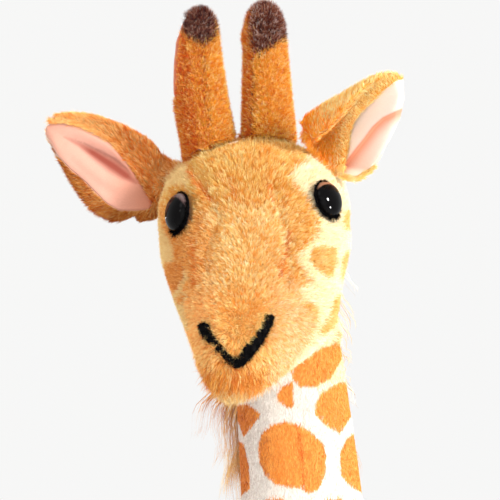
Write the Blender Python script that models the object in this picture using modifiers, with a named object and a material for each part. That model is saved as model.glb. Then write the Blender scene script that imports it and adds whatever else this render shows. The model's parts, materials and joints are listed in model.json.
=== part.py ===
"""A standing plush giraffe with a wire frame inside, built piece by piece at its real size.

Lengths are in metres, +Z is up, and the toy faces -Y. Every soft form is a loft of
oval sections. A skin is the outer form less the room inside it, a filling is that
room less a gap, and each piece is cut by the larger one that it is sewn to.
"""

import math

import bmesh
import bpy
from mathutils import Matrix, Vector
from mathutils.bvhtree import BVHTree

# Gaps, cloth and cutting
gap = 0.0003
skin = 0.0058
overrun = 0.012
wire_radius = 0.0016
weld = 0.00001

# Legs
leg_spread = 0.053
front_leg_y = -0.094
rear_leg_y = 0.112
leg_root_z = 0.400
ankle_radius = 0.0215
thigh_radius = 0.0375
hoof_height = 0.046
hoof_radius = 0.0275
sole_radius = 0.0185
sole_thickness = 0.003
wire_foot = 0.010
wire_bend = 0.0265

# Body
body_length = 0.330
body_half_width = 0.088
body_half_height = 0.090
body_middle_y = 0.006
body_middle_z = 0.384
body_room_share = 1.3
spine_bend = 0.022
spine_rear = 0.018

# Neck
neck_root_y = -0.083
neck_root_z = 0.452
neck_root_radius = 0.044
neck_top_radius = 0.0282
neck_rise = 0.306
neck_forward = 0.045
neck_aside = 0.0205
neck_bend_range = math.radians(8)
neck_foot = 0.034
plug_low_radius = 0.0242
plug_skin_share = 2
plug_top_share = 0.03

# Head
head_length = 0.1675
head_half_width = 0.0485
head_half_height = 0.045
head_rear = 0.046
head_ahead = 0.035
head_above = 0.0385
head_pitch = math.radians(38)
head_roll = math.radians(-5)
head_yaw = math.radians(-8)
throat_flare = 0.03

# Eyes
eye_radius = 0.0094
eye_dome = 0.0056
eye_seat = 0.0020
felt_radius = 0.0108
felt_thickness = 0.0009
post_radius = 0.0025
post_length = 0.0115
washer_radius = 0.0070
washer_thickness = 0.0014
washer_depth = 0.0084

# Ears
ear_half_width = 0.0240
ear_thickness = 0.0040
lining_thickness = 0.0012
lining_gap = 0.0006
ear_fold_radius = 0.0060
ear_ball = 0.0062
ear_clearance = 0.0026
ear_along = -0.0170

# Horns
horn_radius = 0.0162
horn_tip_radius = 0.0102
horn_length = 0.091
horn_dark = 0.0185
horn_apart = 0.0135
horn_aside = -0.0088
horn_back = 0.0060
horn_foot = 0.0060
horn_tilt = math.radians(4)

# Mouth yarn
yarn_radius = 0.0024

# Mane and tail
mane_half_thickness = 0.0050
mane_height = 0.0130
mane_sewn_depth = 0.0046
mane_start_share = 0.34
mane_end_share = 0.84
mane_end_taper = 0.55
crest_height = 0.0104
crest_sewn_depth = 0.0035
crest_start = math.radians(62)
crest_end = math.radians(96)
tail_radius = 0.0048
tail_length = 0.165
tail_ball = 0.0052
tail_sunk_share = 0.2
tail_rise = 0.0306
tail_out = 0.0594
tail_curl = math.radians(108)
tail_drop_power = 1.5
tuft_radius = 0.0135
tuft_length = 0.062

# Section counts
soft_sides = 12
leg_sides = 8
round_steps = 20
ball_segments = 20
ball_rings = 10
bowl_steps = 6
dome_steps = 5
horn_tip_steps = 5
horn_steps = 3
small_steps = 16
tuft_steps = 12
mane_sides = 8
mane_stations = 9
crest_stations = 6
wire_bend_steps = 4
spine_bend_steps = 5
neck_wire_steps = 10
tail_sections = 8
ear_path_steps = 24

# Body sections from chest to rump: place along, lift, width, back height, belly height
body_shares = (
    (0.000, 0.12, 0.34, 0.40, 0.40),
    (0.035, 0.12, 0.68, 0.76, 0.74),
    (0.150, 0.08, 0.94, 1.04, 1.02),
    (0.340, 0.00, 1.00, 1.00, 0.97),
    (0.560, -0.04, 0.98, 0.94, 0.92),
    (0.760, -0.08, 0.97, 0.90, 0.86),
    (0.900, -0.10, 0.82, 0.78, 0.76),
    (0.970, -0.12, 0.56, 0.54, 0.54),
    (1.000, -0.12, 0.28, 0.28, 0.28),
)

# Neck sections from root to top: place along, half width and half depth between root and top size
neck_shares = (
    (0.000, 1.00, 1.00),
    (0.120, 0.92, 0.98),
    (0.280, 0.66, 0.80),
    (0.460, 0.44, 0.60),
    (0.640, 0.26, 0.38),
    (0.790, 0.11, 0.16),
    (0.890, 0.02, 0.02),
    (1.000, -0.03, -0.03),
)

# Head sections from the back of the skull to the nose: place along, width, top, bottom, lift
# and how far aside, for the head turned and stuffed as it is in the photo
head_shares = (
    (0.000, 0.30, 0.24, 0.36, -0.22, -0.100),
    (0.036, 0.60, 0.42, 0.66, -0.18, -0.100),
    (0.130, 0.90, 0.70, 0.94, -0.09, -0.110),
    (0.261, 1.03, 0.89, 1.04, 0.00, -0.107),
    (0.398, 0.985, 0.84, 1.02, 0.00, -0.072),
    (0.530, 0.87, 0.66, 0.92, -0.04, -0.052),
    (0.660, 0.80, 0.52, 0.76, -0.09, 0.016),
    (0.780, 0.650, 0.48, 0.66, -0.12, 0.012),
    (0.880, 0.420, 0.45, 0.56, -0.13, -0.165),
    (0.960, 0.265, 0.35, 0.42, -0.13, -0.220),
    (1.000, 0.13, 0.17, 0.20, -0.13, -0.235),
)

# Leg sections from hoof to body: place along, and size between ankle and thigh
leg_shares = (
    (0.00, 0.03),
    (0.06, 0.00),
    (0.24, -0.02),
    (0.37, 0.16),
    (0.47, 0.15),
    (0.62, 0.40),
    (0.78, 0.90),
    (0.90, 0.86),
    (1.00, 0.10),
)

# Hoof outline from the middle of its top to the middle of its base: shares of radius and height
hoof_shares = (
    (0.000, 1.00),
    (0.740, 1.00),
    (0.866, 0.92),
    (1.000, 0.33),
    (1.000, 0.165),
    (0.925, 0.05),
    (0.745, 0.00),
    (0.000, 0.00),
)

# Tail tuft outline from its root to its tip: shares of radius and length
tuft_shares = (
    (0.00, 0.00),
    (0.36, 0.00),
    (0.80, 0.18),
    (1.00, 0.40),
    (0.75, 0.72),
    (0.30, 0.95),
    (0.00, 1.00),
)

# Ear cloth from root to tip: place along, and its reach above and below the ear's middle line
open_ear_shares = (
    (0.00, 0.22, 0.46),
    (0.11, 0.74, 1.10),
    (0.27, 0.88, 1.26),
    (0.46, 0.86, 1.12),
    (0.66, 0.80, 0.78),
    (0.84, 0.60, 0.43),
    (0.97, 0.32, 0.14),
)
open_lining_shares = (
    (0.15, 0.30, 0.94),
    (0.30, 0.58, 1.12),
    (0.50, 0.60, 0.96),
    (0.74, 0.52, 0.56),
    (0.94, 0.24, 0.16),
)
folded_ear_shares = (
    (0.00, 0.30, 0.26),
    (0.12, 1.42, 0.92),
    (0.30, 1.54, 1.14),
    (0.46, 1.28, 0.90),
    (0.64, 0.95, 0.68),
    (0.82, 0.62, 0.42),
    (0.97, 0.24, 0.18),
)
folded_lining_shares = (
    (0.15, 1.14, 0.86),
    (0.30, 1.36, 1.04),
    (0.50, 1.06, 0.78),
    (0.72, 0.68, 0.48),
    (0.94, 0.24, 0.16),
)
ear_column_shares = (-1, -0.55, -0.1, 0.28, 0.5, 0.72, 1)

# Mouth line across the muzzle, seen from the front: shares of the head's half width, from its middle
mouth_shares = (
    (-0.560, -1.045),
    (-0.500, -1.165),
    (-0.420, -1.275),
    (-0.330, -1.375),
    (-0.250, -1.440),
    (-0.160, -1.350),
    (-0.050, -1.220),
    (0.040, -1.090),
    (0.060, -0.985),
)

# The two eyes as they lie in the photo: place across and up the face, as shares of the head's
# half width from its middle, and how far each looks to its side and down from the surface
eye_shares = {"left": (0.640, 0.100), "right": (-0.845, -0.030)}
eye_side_share = 0.36
eye_drop_share = 0.08

# The two ears as they lie in the photo, one open and one folded over: how far each is raised,
# swept forward and twisted, where its root aims out of the head, and how its cloth bends
open_ear = {
    "hand": "right", "side": -1, "root": (0.040, 0.0052), "stand_off": 0.0030, "length": 0.0655,
    "raise": math.radians(28.5), "sweep": math.radians(4), "twist": math.radians(-30),
    "bend": math.radians(68), "bend_shares": (-1, 1),
    "cloth": open_ear_shares, "lining": open_lining_shares,
}
folded_ear = {
    "hand": "left", "side": 1, "root": (0.0308, 0.0218), "stand_off": 0.0038, "length": 0.066,
    "raise": math.radians(40), "sweep": math.radians(43), "twist": math.radians(0),
    "bend": math.radians(158), "bend_shares": (0.2, 0.8),
    "cloth": folded_ear_shares, "lining": folded_lining_shares,
}

# The two horns: name, side, lean and bow to the viewer's right
horn_bends = (("left", 1, math.radians(-2.2), -0.0003), ("right", -1, math.radians(-5.0), -0.0024))

# Colours as red, green, blue
plush_orange = (0.86, 0.42, 0.12)
plush_white = (0.93, 0.88, 0.76)
plush_pink = (0.80, 0.45, 0.33)
plush_brown = (0.10, 0.035, 0.018)
filling_white = (0.85, 0.85, 0.83)
eye_black = (0.012, 0.010, 0.010)
yarn_black = (0.015, 0.013, 0.012)
mane_blond = (0.55, 0.37, 0.20)
wire_grey = (0.45, 0.45, 0.46)
washer_white = (0.80, 0.80, 0.78)
sole_brown = (0.20, 0.10, 0.05)

root_name = "plush_giraffe"
x_axis = Vector((1, 0, 0))
y_axis = Vector((0, 1, 0))
z_axis = Vector((0, 0, 1))


def clear_scene():
    for thing in list(bpy.data.objects):
        bpy.data.objects.remove(thing, do_unlink=True)


def new_collection(name):
    group = bpy.data.collections.new(name)
    bpy.context.scene.collection.children.link(group)
    return group


def material(name, colour, roughness, metallic=0.0):
    found = bpy.data.materials.get(name)
    if found:
        return found
    made = bpy.data.materials.new(name)
    made.use_nodes = True
    shader = made.node_tree.nodes["Principled BSDF"]
    shader.inputs["Base Color"].default_value = (*colour, 1)
    shader.inputs["Roughness"].default_value = roughness
    shader.inputs["Metallic"].default_value = metallic
    return made


def mesh_object(name, bm, group):
    """Turns a bmesh into a smooth object of the given collection."""
    bmesh.ops.recalc_face_normals(bm, faces=bm.faces)
    mesh = bpy.data.meshes.new(name)
    bm.to_mesh(mesh)
    bm.free()
    mesh.shade_smooth()
    made = bpy.data.objects.new(name, mesh)
    group.objects.link(made)
    if group is cutters:
        made.hide_render = True
        made.display_type = "WIRE"
    return made


def add_subdivision(thing):
    smooth = thing.modifiers.new("Rounding", "SUBSURF")
    smooth.levels = 1
    smooth.render_levels = 1


def add_triangles(thing):
    """Splits faces one fixed way, so that a form and its cutter stay a gap apart."""
    split = thing.modifiers.new("Triangles", "TRIANGULATE")
    split.quad_method = "FIXED"


def combine(thing, other, how):
    step = thing.modifiers.new(how.title(), "BOOLEAN")
    step.operation = how
    step.object = other
    step.solver = "EXACT"


def cut(thing, *tools):
    for tool in tools:
        combine(thing, tool, "DIFFERENCE")


def as_cutter(thing):
    """Moves a helper solid among the cutters."""
    for group in list(thing.users_collection):
        group.objects.unlink(thing)
    cutters.objects.link(thing)
    thing.hide_render = True
    thing.display_type = "WIRE"
    return thing


def baked(thing):
    """Applies an object's modifiers, so that its points can be read."""
    bpy.context.view_layer.update()
    seen = thing.evaluated_get(bpy.context.evaluated_depsgraph_get())
    mesh = bpy.data.meshes.new_from_object(seen)
    thing.modifiers.clear()
    thing.data = mesh
    return thing


def oval(centre, side, up, half_width, top, bottom, sides):
    """One section, with its own height above and below the middle."""
    points = []
    for k in range(sides):
        angle = math.tau * k / sides
        height = top if math.sin(angle) > 0 else bottom
        points.append(centre + side * half_width * math.cos(angle) + up * height * math.sin(angle))
    return points


def loft(name, rings, group, in_triangles=False):
    """A closed cage through rings of points, both ends capped.

    Nested plain lofts are cut into triangles the same way, which keeps them apart.
    """
    bm = bmesh.new()
    rows = [[bm.verts.new(point) for point in ring] for ring in rings]
    for near, far in zip(rows, rows[1:]):
        for k in range(len(near)):
            bm.faces.new((near[k - 1], near[k], far[k], far[k - 1]))
    bm.faces.new(rows[0])
    bm.faces.new(rows[-1])
    if in_triangles:
        bmesh.ops.triangulate(bm, faces=bm.faces, quad_method="FIXED")
    return mesh_object(name, bm, group)


def soft_form(name, sections, sides, grow, rounded, group):
    """A stuffed form through sections of centre, side, up, half width, top and bottom.

    grow moves the whole surface outwards. A rounded form is a cage under a
    subdivision surface, which the swell makes up for. A plain one is left faceted.
    """
    swell = 1 / math.cos(math.pi / sides) if rounded else 1
    start = (sections[0][0] - sections[1][0]).normalized()
    end = (sections[-1][0] - sections[-2][0]).normalized()
    rings = []
    for index, (centre, side, up, half_width, top, bottom) in enumerate(sections):
        if index == 0:
            centre = centre + start * grow
        if index == len(sections) - 1:
            centre = centre + end * grow
        size = [(length + grow) * swell for length in (half_width, top, bottom)]
        rings.append(oval(centre, side, up, *size, sides))
    made = loft(name, rings, group, not rounded)
    if rounded:
        add_subdivision(made)
        add_triangles(made)
    return made


def ball(name, centre, radius, group):
    bm = bmesh.new()
    place = Matrix.Translation(centre)
    bmesh.ops.create_uvsphere(
        bm, u_segments=ball_segments, v_segments=ball_rings, radius=radius, matrix=place)
    return mesh_object(name, bm, group)


def round_about(radius, sides):
    """The corner radius of a faceted round whose flats stay outside the radius."""
    return radius / math.cos(math.pi / sides)


def bowl_radius(radius):
    """The corner radius of a faceted socket that clears a ball by the gap."""
    return round_about(round_about(radius + gap, ball_segments), 2 * ball_rings)


def facing(centre, axis):
    """A matrix that puts a turned shape's own +Z along an axis through a point."""
    return Matrix.Translation(centre) @ axis.to_track_quat("Z", "Y").to_matrix().to_4x4()


def socket_tool(name, centre, out, radius, reach, flare):
    """A cutter for a ball's socket: a bowl, and a mouth that widens by the flare."""
    bowl = round_about(round_about(radius + gap, round_steps), 4 * bowl_steps)
    mouth = round_about(radius + gap * 2 + reach * flare, round_steps)
    profile = [(0, reach), (mouth, reach)]
    for k in range(bowl_steps + 1):
        angle = math.pi / 2 * k / bowl_steps
        profile.append((bowl * math.cos(angle), -bowl * math.sin(angle)))
    profile[-1] = (0, -bowl)
    return turned(name, profile, facing(centre, out), cutters)


def rod(name, start, end, start_radius, end_radius, group):
    """A straight round bar or cone between two points."""
    bm = bmesh.new()
    run = end - start
    bmesh.ops.create_cone(
        bm, cap_ends=True, segments=ball_segments, radius1=start_radius, radius2=end_radius,
        depth=run.length, matrix=facing((start + end) / 2, run.normalized()))
    return mesh_object(name, bm, group)


def turned(name, profile, place, group, steps=round_steps):
    """A solid turned from a profile of radius and height, listed from top to bottom."""
    mesh = bpy.data.meshes.new(name)
    closed = profile[0] == profile[-1]
    points = [(radius, 0, height) for radius, height in (profile[:-1] if closed else profile)]
    edges = [(k, k + 1) for k in range(len(points) - 1)]
    if closed:
        edges.append((len(points) - 1, 0))
    mesh.from_pydata(points, edges, [])
    made = bpy.data.objects.new(name, mesh)
    group.objects.link(made)
    screw = made.modifiers.new("Turning", "SCREW")
    screw.axis = "Z"
    screw.angle = math.tau
    screw.steps = steps
    screw.render_steps = steps
    screw.use_merge_vertices = True
    screw.merge_threshold = weld
    screw.use_smooth_shade = True
    made.matrix_world = place
    bpy.context.view_layer.update()
    if group is cutters:
        as_cutter(made)
    return made


def ring_profile(inner, outer, top, bottom):
    """The closed profile of a flat ring."""
    return [(inner, top), (outer, top), (outer, bottom), (inner, bottom), (inner, top)]


def tube(name, points, radius, group):
    """A round wire or yarn along points, as a closed mesh."""
    path = bpy.data.curves.new(name, "CURVE")
    path.dimensions = "3D"
    path.bevel_depth = radius
    path.bevel_resolution = 1
    path.use_fill_caps = True
    line = path.splines.new("POLY")
    line.points.add(len(points) - 1)
    for slot, point in zip(line.points, points):
        slot.co = (*point, 1)
    guide = bpy.data.objects.new(name + "_guide", path)
    group.objects.link(guide)
    bpy.context.view_layer.update()
    seen = guide.evaluated_get(bpy.context.evaluated_depsgraph_get())
    mesh = bpy.data.meshes.new_from_object(seen)
    bm = bmesh.new()
    bm.from_mesh(mesh)
    bmesh.ops.remove_doubles(bm, verts=bm.verts, dist=weld)
    bpy.data.objects.remove(guide)
    return mesh_object(name, bm, group)


def bore(name, points, radius):
    """A cutter round a wire or yarn, longer than it by the gap at each end."""
    start = points[0] + (points[0] - points[1]).normalized() * gap
    end = points[-1] + (points[-1] - points[-2]).normalized() * gap
    return tube(name, [start, *points[1:-1], end], radius + gap, cutters)


def arc_points(centre, across, up, radius, start, end, count):
    """Points on an arc that starts and ends at angles from the across direction."""
    points = []
    for k in range(count + 1):
        angle = start + (end - start) * k / count
        points.append(centre + across * radius * math.cos(angle) + up * radius * math.sin(angle))
    return points


def finish_piece(thing, coat):
    thing.data.materials.clear()
    thing.data.materials.append(coat)
    return thing


def hang(thing, parent):
    """Parents a piece, and leaves it where it is."""
    bpy.context.view_layer.update()
    thing.parent = parent
    thing.matrix_parent_inverse = parent.matrix_world.inverted()


def axis_empty(name, place, parent):
    made = bpy.data.objects.new(name, None)
    parts.objects.link(made)
    made.matrix_world = place
    bpy.context.view_layer.update()
    if parent:
        hang(made, parent)
    return made


# The body

def body_sections():
    sections = []
    for along, lift, width, back, belly in body_shares:
        centre = Vector((0, body_middle_y + body_length * (along - 0.5),
                         body_middle_z + body_half_height * lift))
        sections.append((centre, x_axis, z_axis, body_half_width * width,
                         body_half_height * back, body_half_height * belly))
    return sections


def body_form(name, grow, rounded, group):
    """The body, or the plain room in it, which leaves out the steep end sections."""
    sections = body_sections() if rounded else body_sections()[1:-1]
    grow = grow if rounded else grow * body_room_share
    return soft_form(name, sections, soft_sides, grow, rounded, group)


# The neck, a curved line that leans forward and to one side

def neck_point(share):
    return Vector((-neck_aside * share ** 2, neck_root_y - neck_forward * share,
                   neck_root_z + neck_rise * share))


def neck_axis(share):
    return Vector((-2 * neck_aside * share, -neck_forward, neck_rise)).normalized()


def neck_sections():
    sections = []
    for along, width, depth in neck_shares:
        axis = neck_axis(along)
        back = (y_axis - axis * y_axis.dot(axis)).normalized()
        side = back.cross(axis)
        extra = neck_root_radius - neck_top_radius
        half_width = neck_top_radius + extra * width
        half_depth = neck_top_radius + extra * depth
        sections.append((neck_point(along), side, back, half_width, half_depth, half_depth))
    return sections


def neck_form(name, grow, rounded, group):
    return soft_form(name, neck_sections(), soft_sides, grow, rounded, group)


# The head, in its own frame: nose along -Y, up +Z

def head_place():
    turn = (Matrix.Rotation(head_yaw, 4, "Z") @ Matrix.Rotation(head_roll, 4, "Y"))
    middle = neck_point(1) + turn @ Vector((0, -head_ahead, head_above))
    return Matrix.Translation(middle) @ turn @ Matrix.Rotation(head_pitch, 4, "X")


def head_sections():
    place = head_place()
    frame = place.to_3x3()
    side = frame @ x_axis
    up = frame @ z_axis
    sections = []
    for along, width, top, bottom, lift, aside in head_shares:
        local = Vector((head_half_width * aside, head_rear - head_length * along,
                        head_half_height * lift))
        sections.append((place @ local, side, up, head_half_width * width,
                         head_half_height * top, head_half_height * bottom))
    return sections


def head_form(name, grow, rounded, group):
    """The head, or the plain room in it, which leaves out the steep end sections."""
    sections = head_sections() if rounded else head_sections()[1:-1]
    return soft_form(name, sections, soft_sides, grow, rounded, group)


def seen_surface(form):
    return BVHTree.FromObject(form, bpy.context.evaluated_depsgraph_get())


def surface_along(surface, start, direction):
    """The place and normal where a line from inside leaves a surface."""
    place, normal, _, _ = surface.ray_cast(start, direction)
    return place, normal


def surface_from_front(surface, x, z, clear_y):
    """The place and normal where a line from the front meets a surface."""
    place, normal, _, _ = surface.ray_cast(Vector((x, clear_y, z)), y_axis)
    return place, normal


# Legs

def leg_sections(x, y):
    foot = hoof_height + gap
    sections = []
    for along, size in leg_shares:
        radius = ankle_radius + (thigh_radius - ankle_radius) * size
        centre = Vector((x, y, foot + (leg_root_z - foot) * along))
        sections.append((centre, x_axis, y_axis, radius, radius, radius))
    return sections


def leg_tube(name, x, y, grow, rounded, reach, group):
    """A leg's form, run past its own ends by the reach."""
    sections = leg_sections(x, y)
    first = (sections[0][0] - z_axis * reach, *sections[0][1:])
    last = (sections[-1][0] + z_axis * reach, *sections[-1][1:])
    if reach:
        sections = [first, *sections, last]
    return soft_form(name, sections, leg_sides, grow, rounded, group)


def slab(name, low, high, half_size, group):
    """A square block between two heights, for flat cuts."""
    bm = bmesh.new()
    middle = (low + high) / 2
    place = Matrix.Translation(middle) @ Matrix.Diagonal((2 * half_size, 2 * half_size,
                                                          (high - low).z, 1))
    bmesh.ops.create_cube(bm, size=1, matrix=place)
    return mesh_object(name, bm, group)


def leg_wire_points(y):
    """A U of wire from one hoof up over the spine and down to the other hoof."""
    top = body_middle_z + 2 * wire_radius + gap
    bend = wire_bend
    left = [Vector((leg_spread, y, wire_foot)), Vector((leg_spread, y, top - bend))]
    corner = Vector((leg_spread - bend, y, top - bend))
    turn = arc_points(corner, x_axis, z_axis, bend, 0, math.pi / 2, wire_bend_steps)[1:]
    half = left + turn
    return half + [Vector((-point.x, point.y, point.z)) for point in reversed(half)]


def build_legs(body_cutter):
    places = []
    for end, y in (("front", front_leg_y), ("rear", rear_leg_y)):
        points = leg_wire_points(y)
        wire = tube(end + "_leg_wire", points, wire_radius, parts)
        finish_piece(wire, material("wire", wire_grey, 0.35, 1.0))
        hang(wire, root)
        leg_bores[end] = bore(end + "_leg_wire_bore", points, wire_radius)
        for hand, side in (("left", 1), ("right", -1)):
            places.append((end + "_" + hand, end, side * leg_spread, y))
    for name, end, x, y in places:
        build_leg(name, leg_bores[end], x, y, body_cutter)
        build_hoof(name, leg_bores[end], x, y)


def build_leg(name, wire_bore, x, y, body_cutter):
    foot = Vector((x, y, hoof_height + gap))
    flat = slab(name + "_ankle_cut", foot - z_axis * overrun * 3, foot, hoof_radius * 2, cutters)
    room = leg_tube(name + "_leg_room", x, y, -skin, False, overrun, cutters)
    leg = leg_tube(name + "_leg_skin", x, y, 0, True, 0, parts)
    cut(leg, body_cutter, room, flat)
    finish_piece(leg, material("white_plush", plush_white, 0.9))
    hang(leg, root)
    inside = leg_tube(name + "_leg_filling", x, y, -skin - gap, False, 0, parts)
    cut(inside, body_cutter, wire_bore, flat)
    finish_piece(inside, material("filling", filling_white, 0.95))
    hang(inside, root)


def build_hoof(name, wire_bore, x, y):
    """A round hoof, open round the wire, and the flat sole under it."""
    low = sole_thickness + gap
    profile = [(hoof_radius * out, low + (hoof_height - low) * up) for out, up in hoof_shares]
    place = Matrix.Translation((x, y, 0))
    hoof = turned(name + "_hoof", profile, place, parts, small_steps)
    cut(hoof, wire_bore)
    finish_piece(hoof, material("brown_plush", plush_brown, 0.9))
    hang(hoof, root)
    outline = [(0, sole_thickness), (sole_radius, sole_thickness), (sole_radius, 0), (0, 0)]
    sole = turned(name + "_sole", outline, place, parts, small_steps)
    finish_piece(sole, material("sole_cloth", sole_brown, 0.85))
    hang(sole, root)


def build_body():
    """The body's skin and filling, its spine wire and the openings for neck, legs and tail."""
    socket = socket_tool("neck_root_socket", neck_point(0), neck_axis(0), neck_root_radius,
                         neck_root_radius + overrun, math.tan(neck_bend_range))
    room = body_form("body_room", -skin, False, cutters)
    body = body_form("body_skin", 0, True, parts)
    cut(body, room, socket, leg_bores["front"], leg_bores["rear"], tail_socket)
    finish_piece(body, material("white_plush", plush_white, 0.9))
    hang(body, root)
    spine_points = spine_wire_points()
    spine = tube("spine_wire", spine_points, wire_radius, parts)
    spine_bore = bore("spine_wire_bore", spine_points, wire_radius)
    finish_piece(spine, material("wire", wire_grey, 0.35, 1.0))
    hang(spine, root)
    inside = body_form("body_filling", -skin - gap, False, parts)
    cut(inside, socket, leg_bores["front"], leg_bores["rear"], spine_bore)
    finish_piece(inside, material("filling", filling_white, 0.95))
    hang(inside, root)


def spine_wire_points():
    """Along the back from the rear legs, then up to just under the neck."""
    bend = spine_bend
    foot = neck_point(0) - z_axis * neck_foot
    rear = Vector((0, rear_leg_y + spine_rear, body_middle_z))
    end = foot - z_axis * (gap + wire_radius)
    corner = Vector((0, end.y + bend, body_middle_z + bend))
    points = [rear, Vector((0, end.y + bend, body_middle_z))]
    points += arc_points(corner, -y_axis, -z_axis, bend, math.pi / 2, 0, spine_bend_steps)[1:]
    if end.z > points[-1].z:
        points.append(end)
    return points


def neck_foot_plug(name, foot, grow):
    """The widening room under the neck's first section, or its filling a gap smaller."""
    start = foot - z_axis * overrun
    end = neck_point(plug_top_share) + z_axis * grow * 2
    high = neck_root_radius - skin * plug_skin_share + grow
    return rod(name, start, end, plug_low_radius + grow, high, cutters)


def build_neck():
    """The neck's skin and filling, its root ball and its top ball, and the wire inside."""
    foot = neck_point(0) - z_axis * neck_foot
    top = neck_point(1)
    flat = slab("neck_foot_cut", foot - z_axis * neck_root_radius, foot, neck_root_radius * 2, cutters)
    room = neck_form("neck_room", -skin, False, cutters)
    well = neck_foot_plug("neck_foot_room", foot, 0)
    neck = neck_form("neck_skin", 0, True, parts)
    combine(neck, ball("neck_root_ball", neck_point(0), neck_root_radius, cutters), "UNION")
    combine(neck, ball("neck_top_ball", top, neck_top_radius, cutters), "UNION")
    cut(neck, room, flat, well)
    finish_piece(neck, material("white_plush", plush_white, 0.9))
    hang(neck, neck_hinge)
    wire_end = top - neck_axis(1) * (skin * 2)
    points = [neck_point(k / neck_wire_steps) for k in range(1, neck_wire_steps)]
    points = [foot + z_axis * gap, *points, wire_end]
    wire = tube("neck_wire", points, wire_radius, parts)
    wire_bore = bore("neck_wire_bore", points, wire_radius)
    finish_piece(wire, material("wire", wire_grey, 0.35, 1.0))
    hang(wire, neck_hinge)
    inside = neck_form("neck_filling", -skin - gap, False, parts)
    combine(inside, neck_foot_plug("neck_foot_filling", foot, -gap), "UNION")
    cut(inside, wire_bore, flat)
    finish_piece(inside, material("filling", filling_white, 0.95))
    hang(inside, neck_hinge)


def build_mane():
    """A strip of mane down the back of the neck, and its crest behind the horns."""
    sections = []
    run = mane_end_share - mane_start_share
    for k in range(mane_stations):
        share = mane_start_share + run * k / (mane_stations - 1)
        axis = neck_axis(share)
        back = (y_axis - axis * y_axis.dot(axis)).normalized()
        half_depth = neck_half_depth(share)
        ends = mane_end_taper if k in (0, mane_stations - 1) else 1
        sections.append((neck_point(share) + back * half_depth, back.cross(axis), back,
                         mane_half_thickness * ends, mane_height * ends, mane_sewn_depth))
    mane = soft_form("neck_mane", sections, mane_sides, 0, False, parts)
    cut(mane, neck_form("neck_behind_mane", gap, True, cutters))
    finish_piece(mane, material("mane", mane_blond, 0.8))
    hang(mane, neck_hinge)


def neck_half_depth(share):
    """The neck's half depth at a share of its length."""
    extra = neck_root_radius - neck_top_radius
    for (start, _, near), (end, _, far) in zip(neck_shares, neck_shares[1:]):
        if start <= share <= end:
            return neck_top_radius + extra * (near + (far - near) * (share - start) / (end - start))
    return neck_top_radius


def build_crest(head_cutter):
    """The mane's upper end, over the back of the head."""
    place = head_place()
    frame = place.to_3x3()
    sections = []
    for k in range(crest_stations):
        lean = crest_start + (crest_end - crest_start) * k / (crest_stations - 1)
        out = frame @ Vector((0, math.sin(lean), math.cos(lean)))
        along = frame @ Vector((0, math.cos(lean), -math.sin(lean)))
        start = place @ Vector((horn_aside, horn_back, 0))
        point, _ = surface_along(head_surface, start, out)
        ends = mane_end_taper if k in (0, crest_stations - 1) else 1
        sections.append((point, along.cross(out), out, mane_half_thickness * ends,
                         crest_height * ends, crest_sewn_depth))
    crest = soft_form("head_crest", sections, mane_sides, 0, False, parts)
    cut(crest, head_cutter)
    finish_piece(crest, material("mane", mane_blond, 0.8))
    return crest


def build_head():
    """The head's skin and filling with the neck's socket and the seats of eyes, ears and mouth."""
    socket = socket_tool("head_socket", neck_point(1), -neck_axis(1), neck_top_radius,
                         head_half_height, throat_flare)
    room = head_form("head_room", -skin, False, cutters)
    head = head_form("head_skin", 0, True, parts)
    cut(head, room, socket)
    inside = head_form("head_filling", -skin - gap, False, parts)
    cut(inside, socket)
    finish_piece(head, material("orange_plush", plush_orange, 0.9))
    finish_piece(inside, material("filling", filling_white, 0.95))
    return head, inside


def build_eye(hand, side, head, inside):
    """A glossy dome on a post, its felt ring, and the lock washer behind the skin."""
    middle = head_place().translation
    across, height = eye_shares[hand]
    point, normal = surface_from_front(head_surface, middle.x + head_half_width * across,
                                       middle.z + head_half_width * height, middle.y - head_length)
    normal = (normal + x_axis * side * eye_side_share - z_axis * eye_drop_share).normalized()
    frame = facing(point - normal * eye_seat, normal)
    seat_radius = felt_radius + gap
    seat = turned(hand + "_eye_seat", [(0, overrun), (seat_radius, overrun), (seat_radius, 0),
                                       (post_radius + gap, 0), (post_radius + gap, -post_length - gap),
                                       (0, -post_length - gap)], frame, cutters)
    pocket_radius = washer_radius + gap
    pocket = turned(hand + "_eye_pocket", [(0, 0), (pocket_radius, 0), (pocket_radius, -post_length - gap),
                                           (0, -post_length - gap)], frame, cutters)
    cut(head, seat)
    cut(inside, pocket)
    felt_top = gap + felt_thickness
    ring = ring_profile(post_radius + gap, felt_radius, felt_top, gap)
    felt = turned(hand + "_eye_felt", ring, frame, parts)
    finish_piece(felt, material("black_felt", yarn_black, 0.95))
    back = felt_top + gap
    dome = []
    for k in range(dome_steps + 1):
        angle = math.pi / 2 * (1 - k / dome_steps)
        dome.append((eye_radius * math.cos(angle), back + eye_dome * math.sin(angle)))
    profile = [(0, back + eye_dome)] + dome[1:] + [(post_radius, back), (post_radius, -post_length),
                                                   (0, -post_length)]
    eye = turned(hand + "_eye", profile, frame, parts)
    finish_piece(eye, material("black_eye", eye_black, 0.08))
    washer = turned(hand + "_eye_washer", ring_profile(post_radius + gap, washer_radius, -washer_depth,
                                                       -washer_depth - washer_thickness), frame, parts)
    finish_piece(washer, material("washer", washer_white, 0.5))
    return felt, eye, washer


def bow_aside(thing, height, bow):
    """Bends a turned piece sideways, most at two thirds of the height and not at all at its ends."""
    baked(thing)
    aside = thing.matrix_world.to_3x3().inverted() @ x_axis
    for vertex in thing.data.vertices:
        share = vertex.co.z / height
        vertex.co += aside * bow * share ** 2 * (1 - share) * 27 / 4


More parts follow.
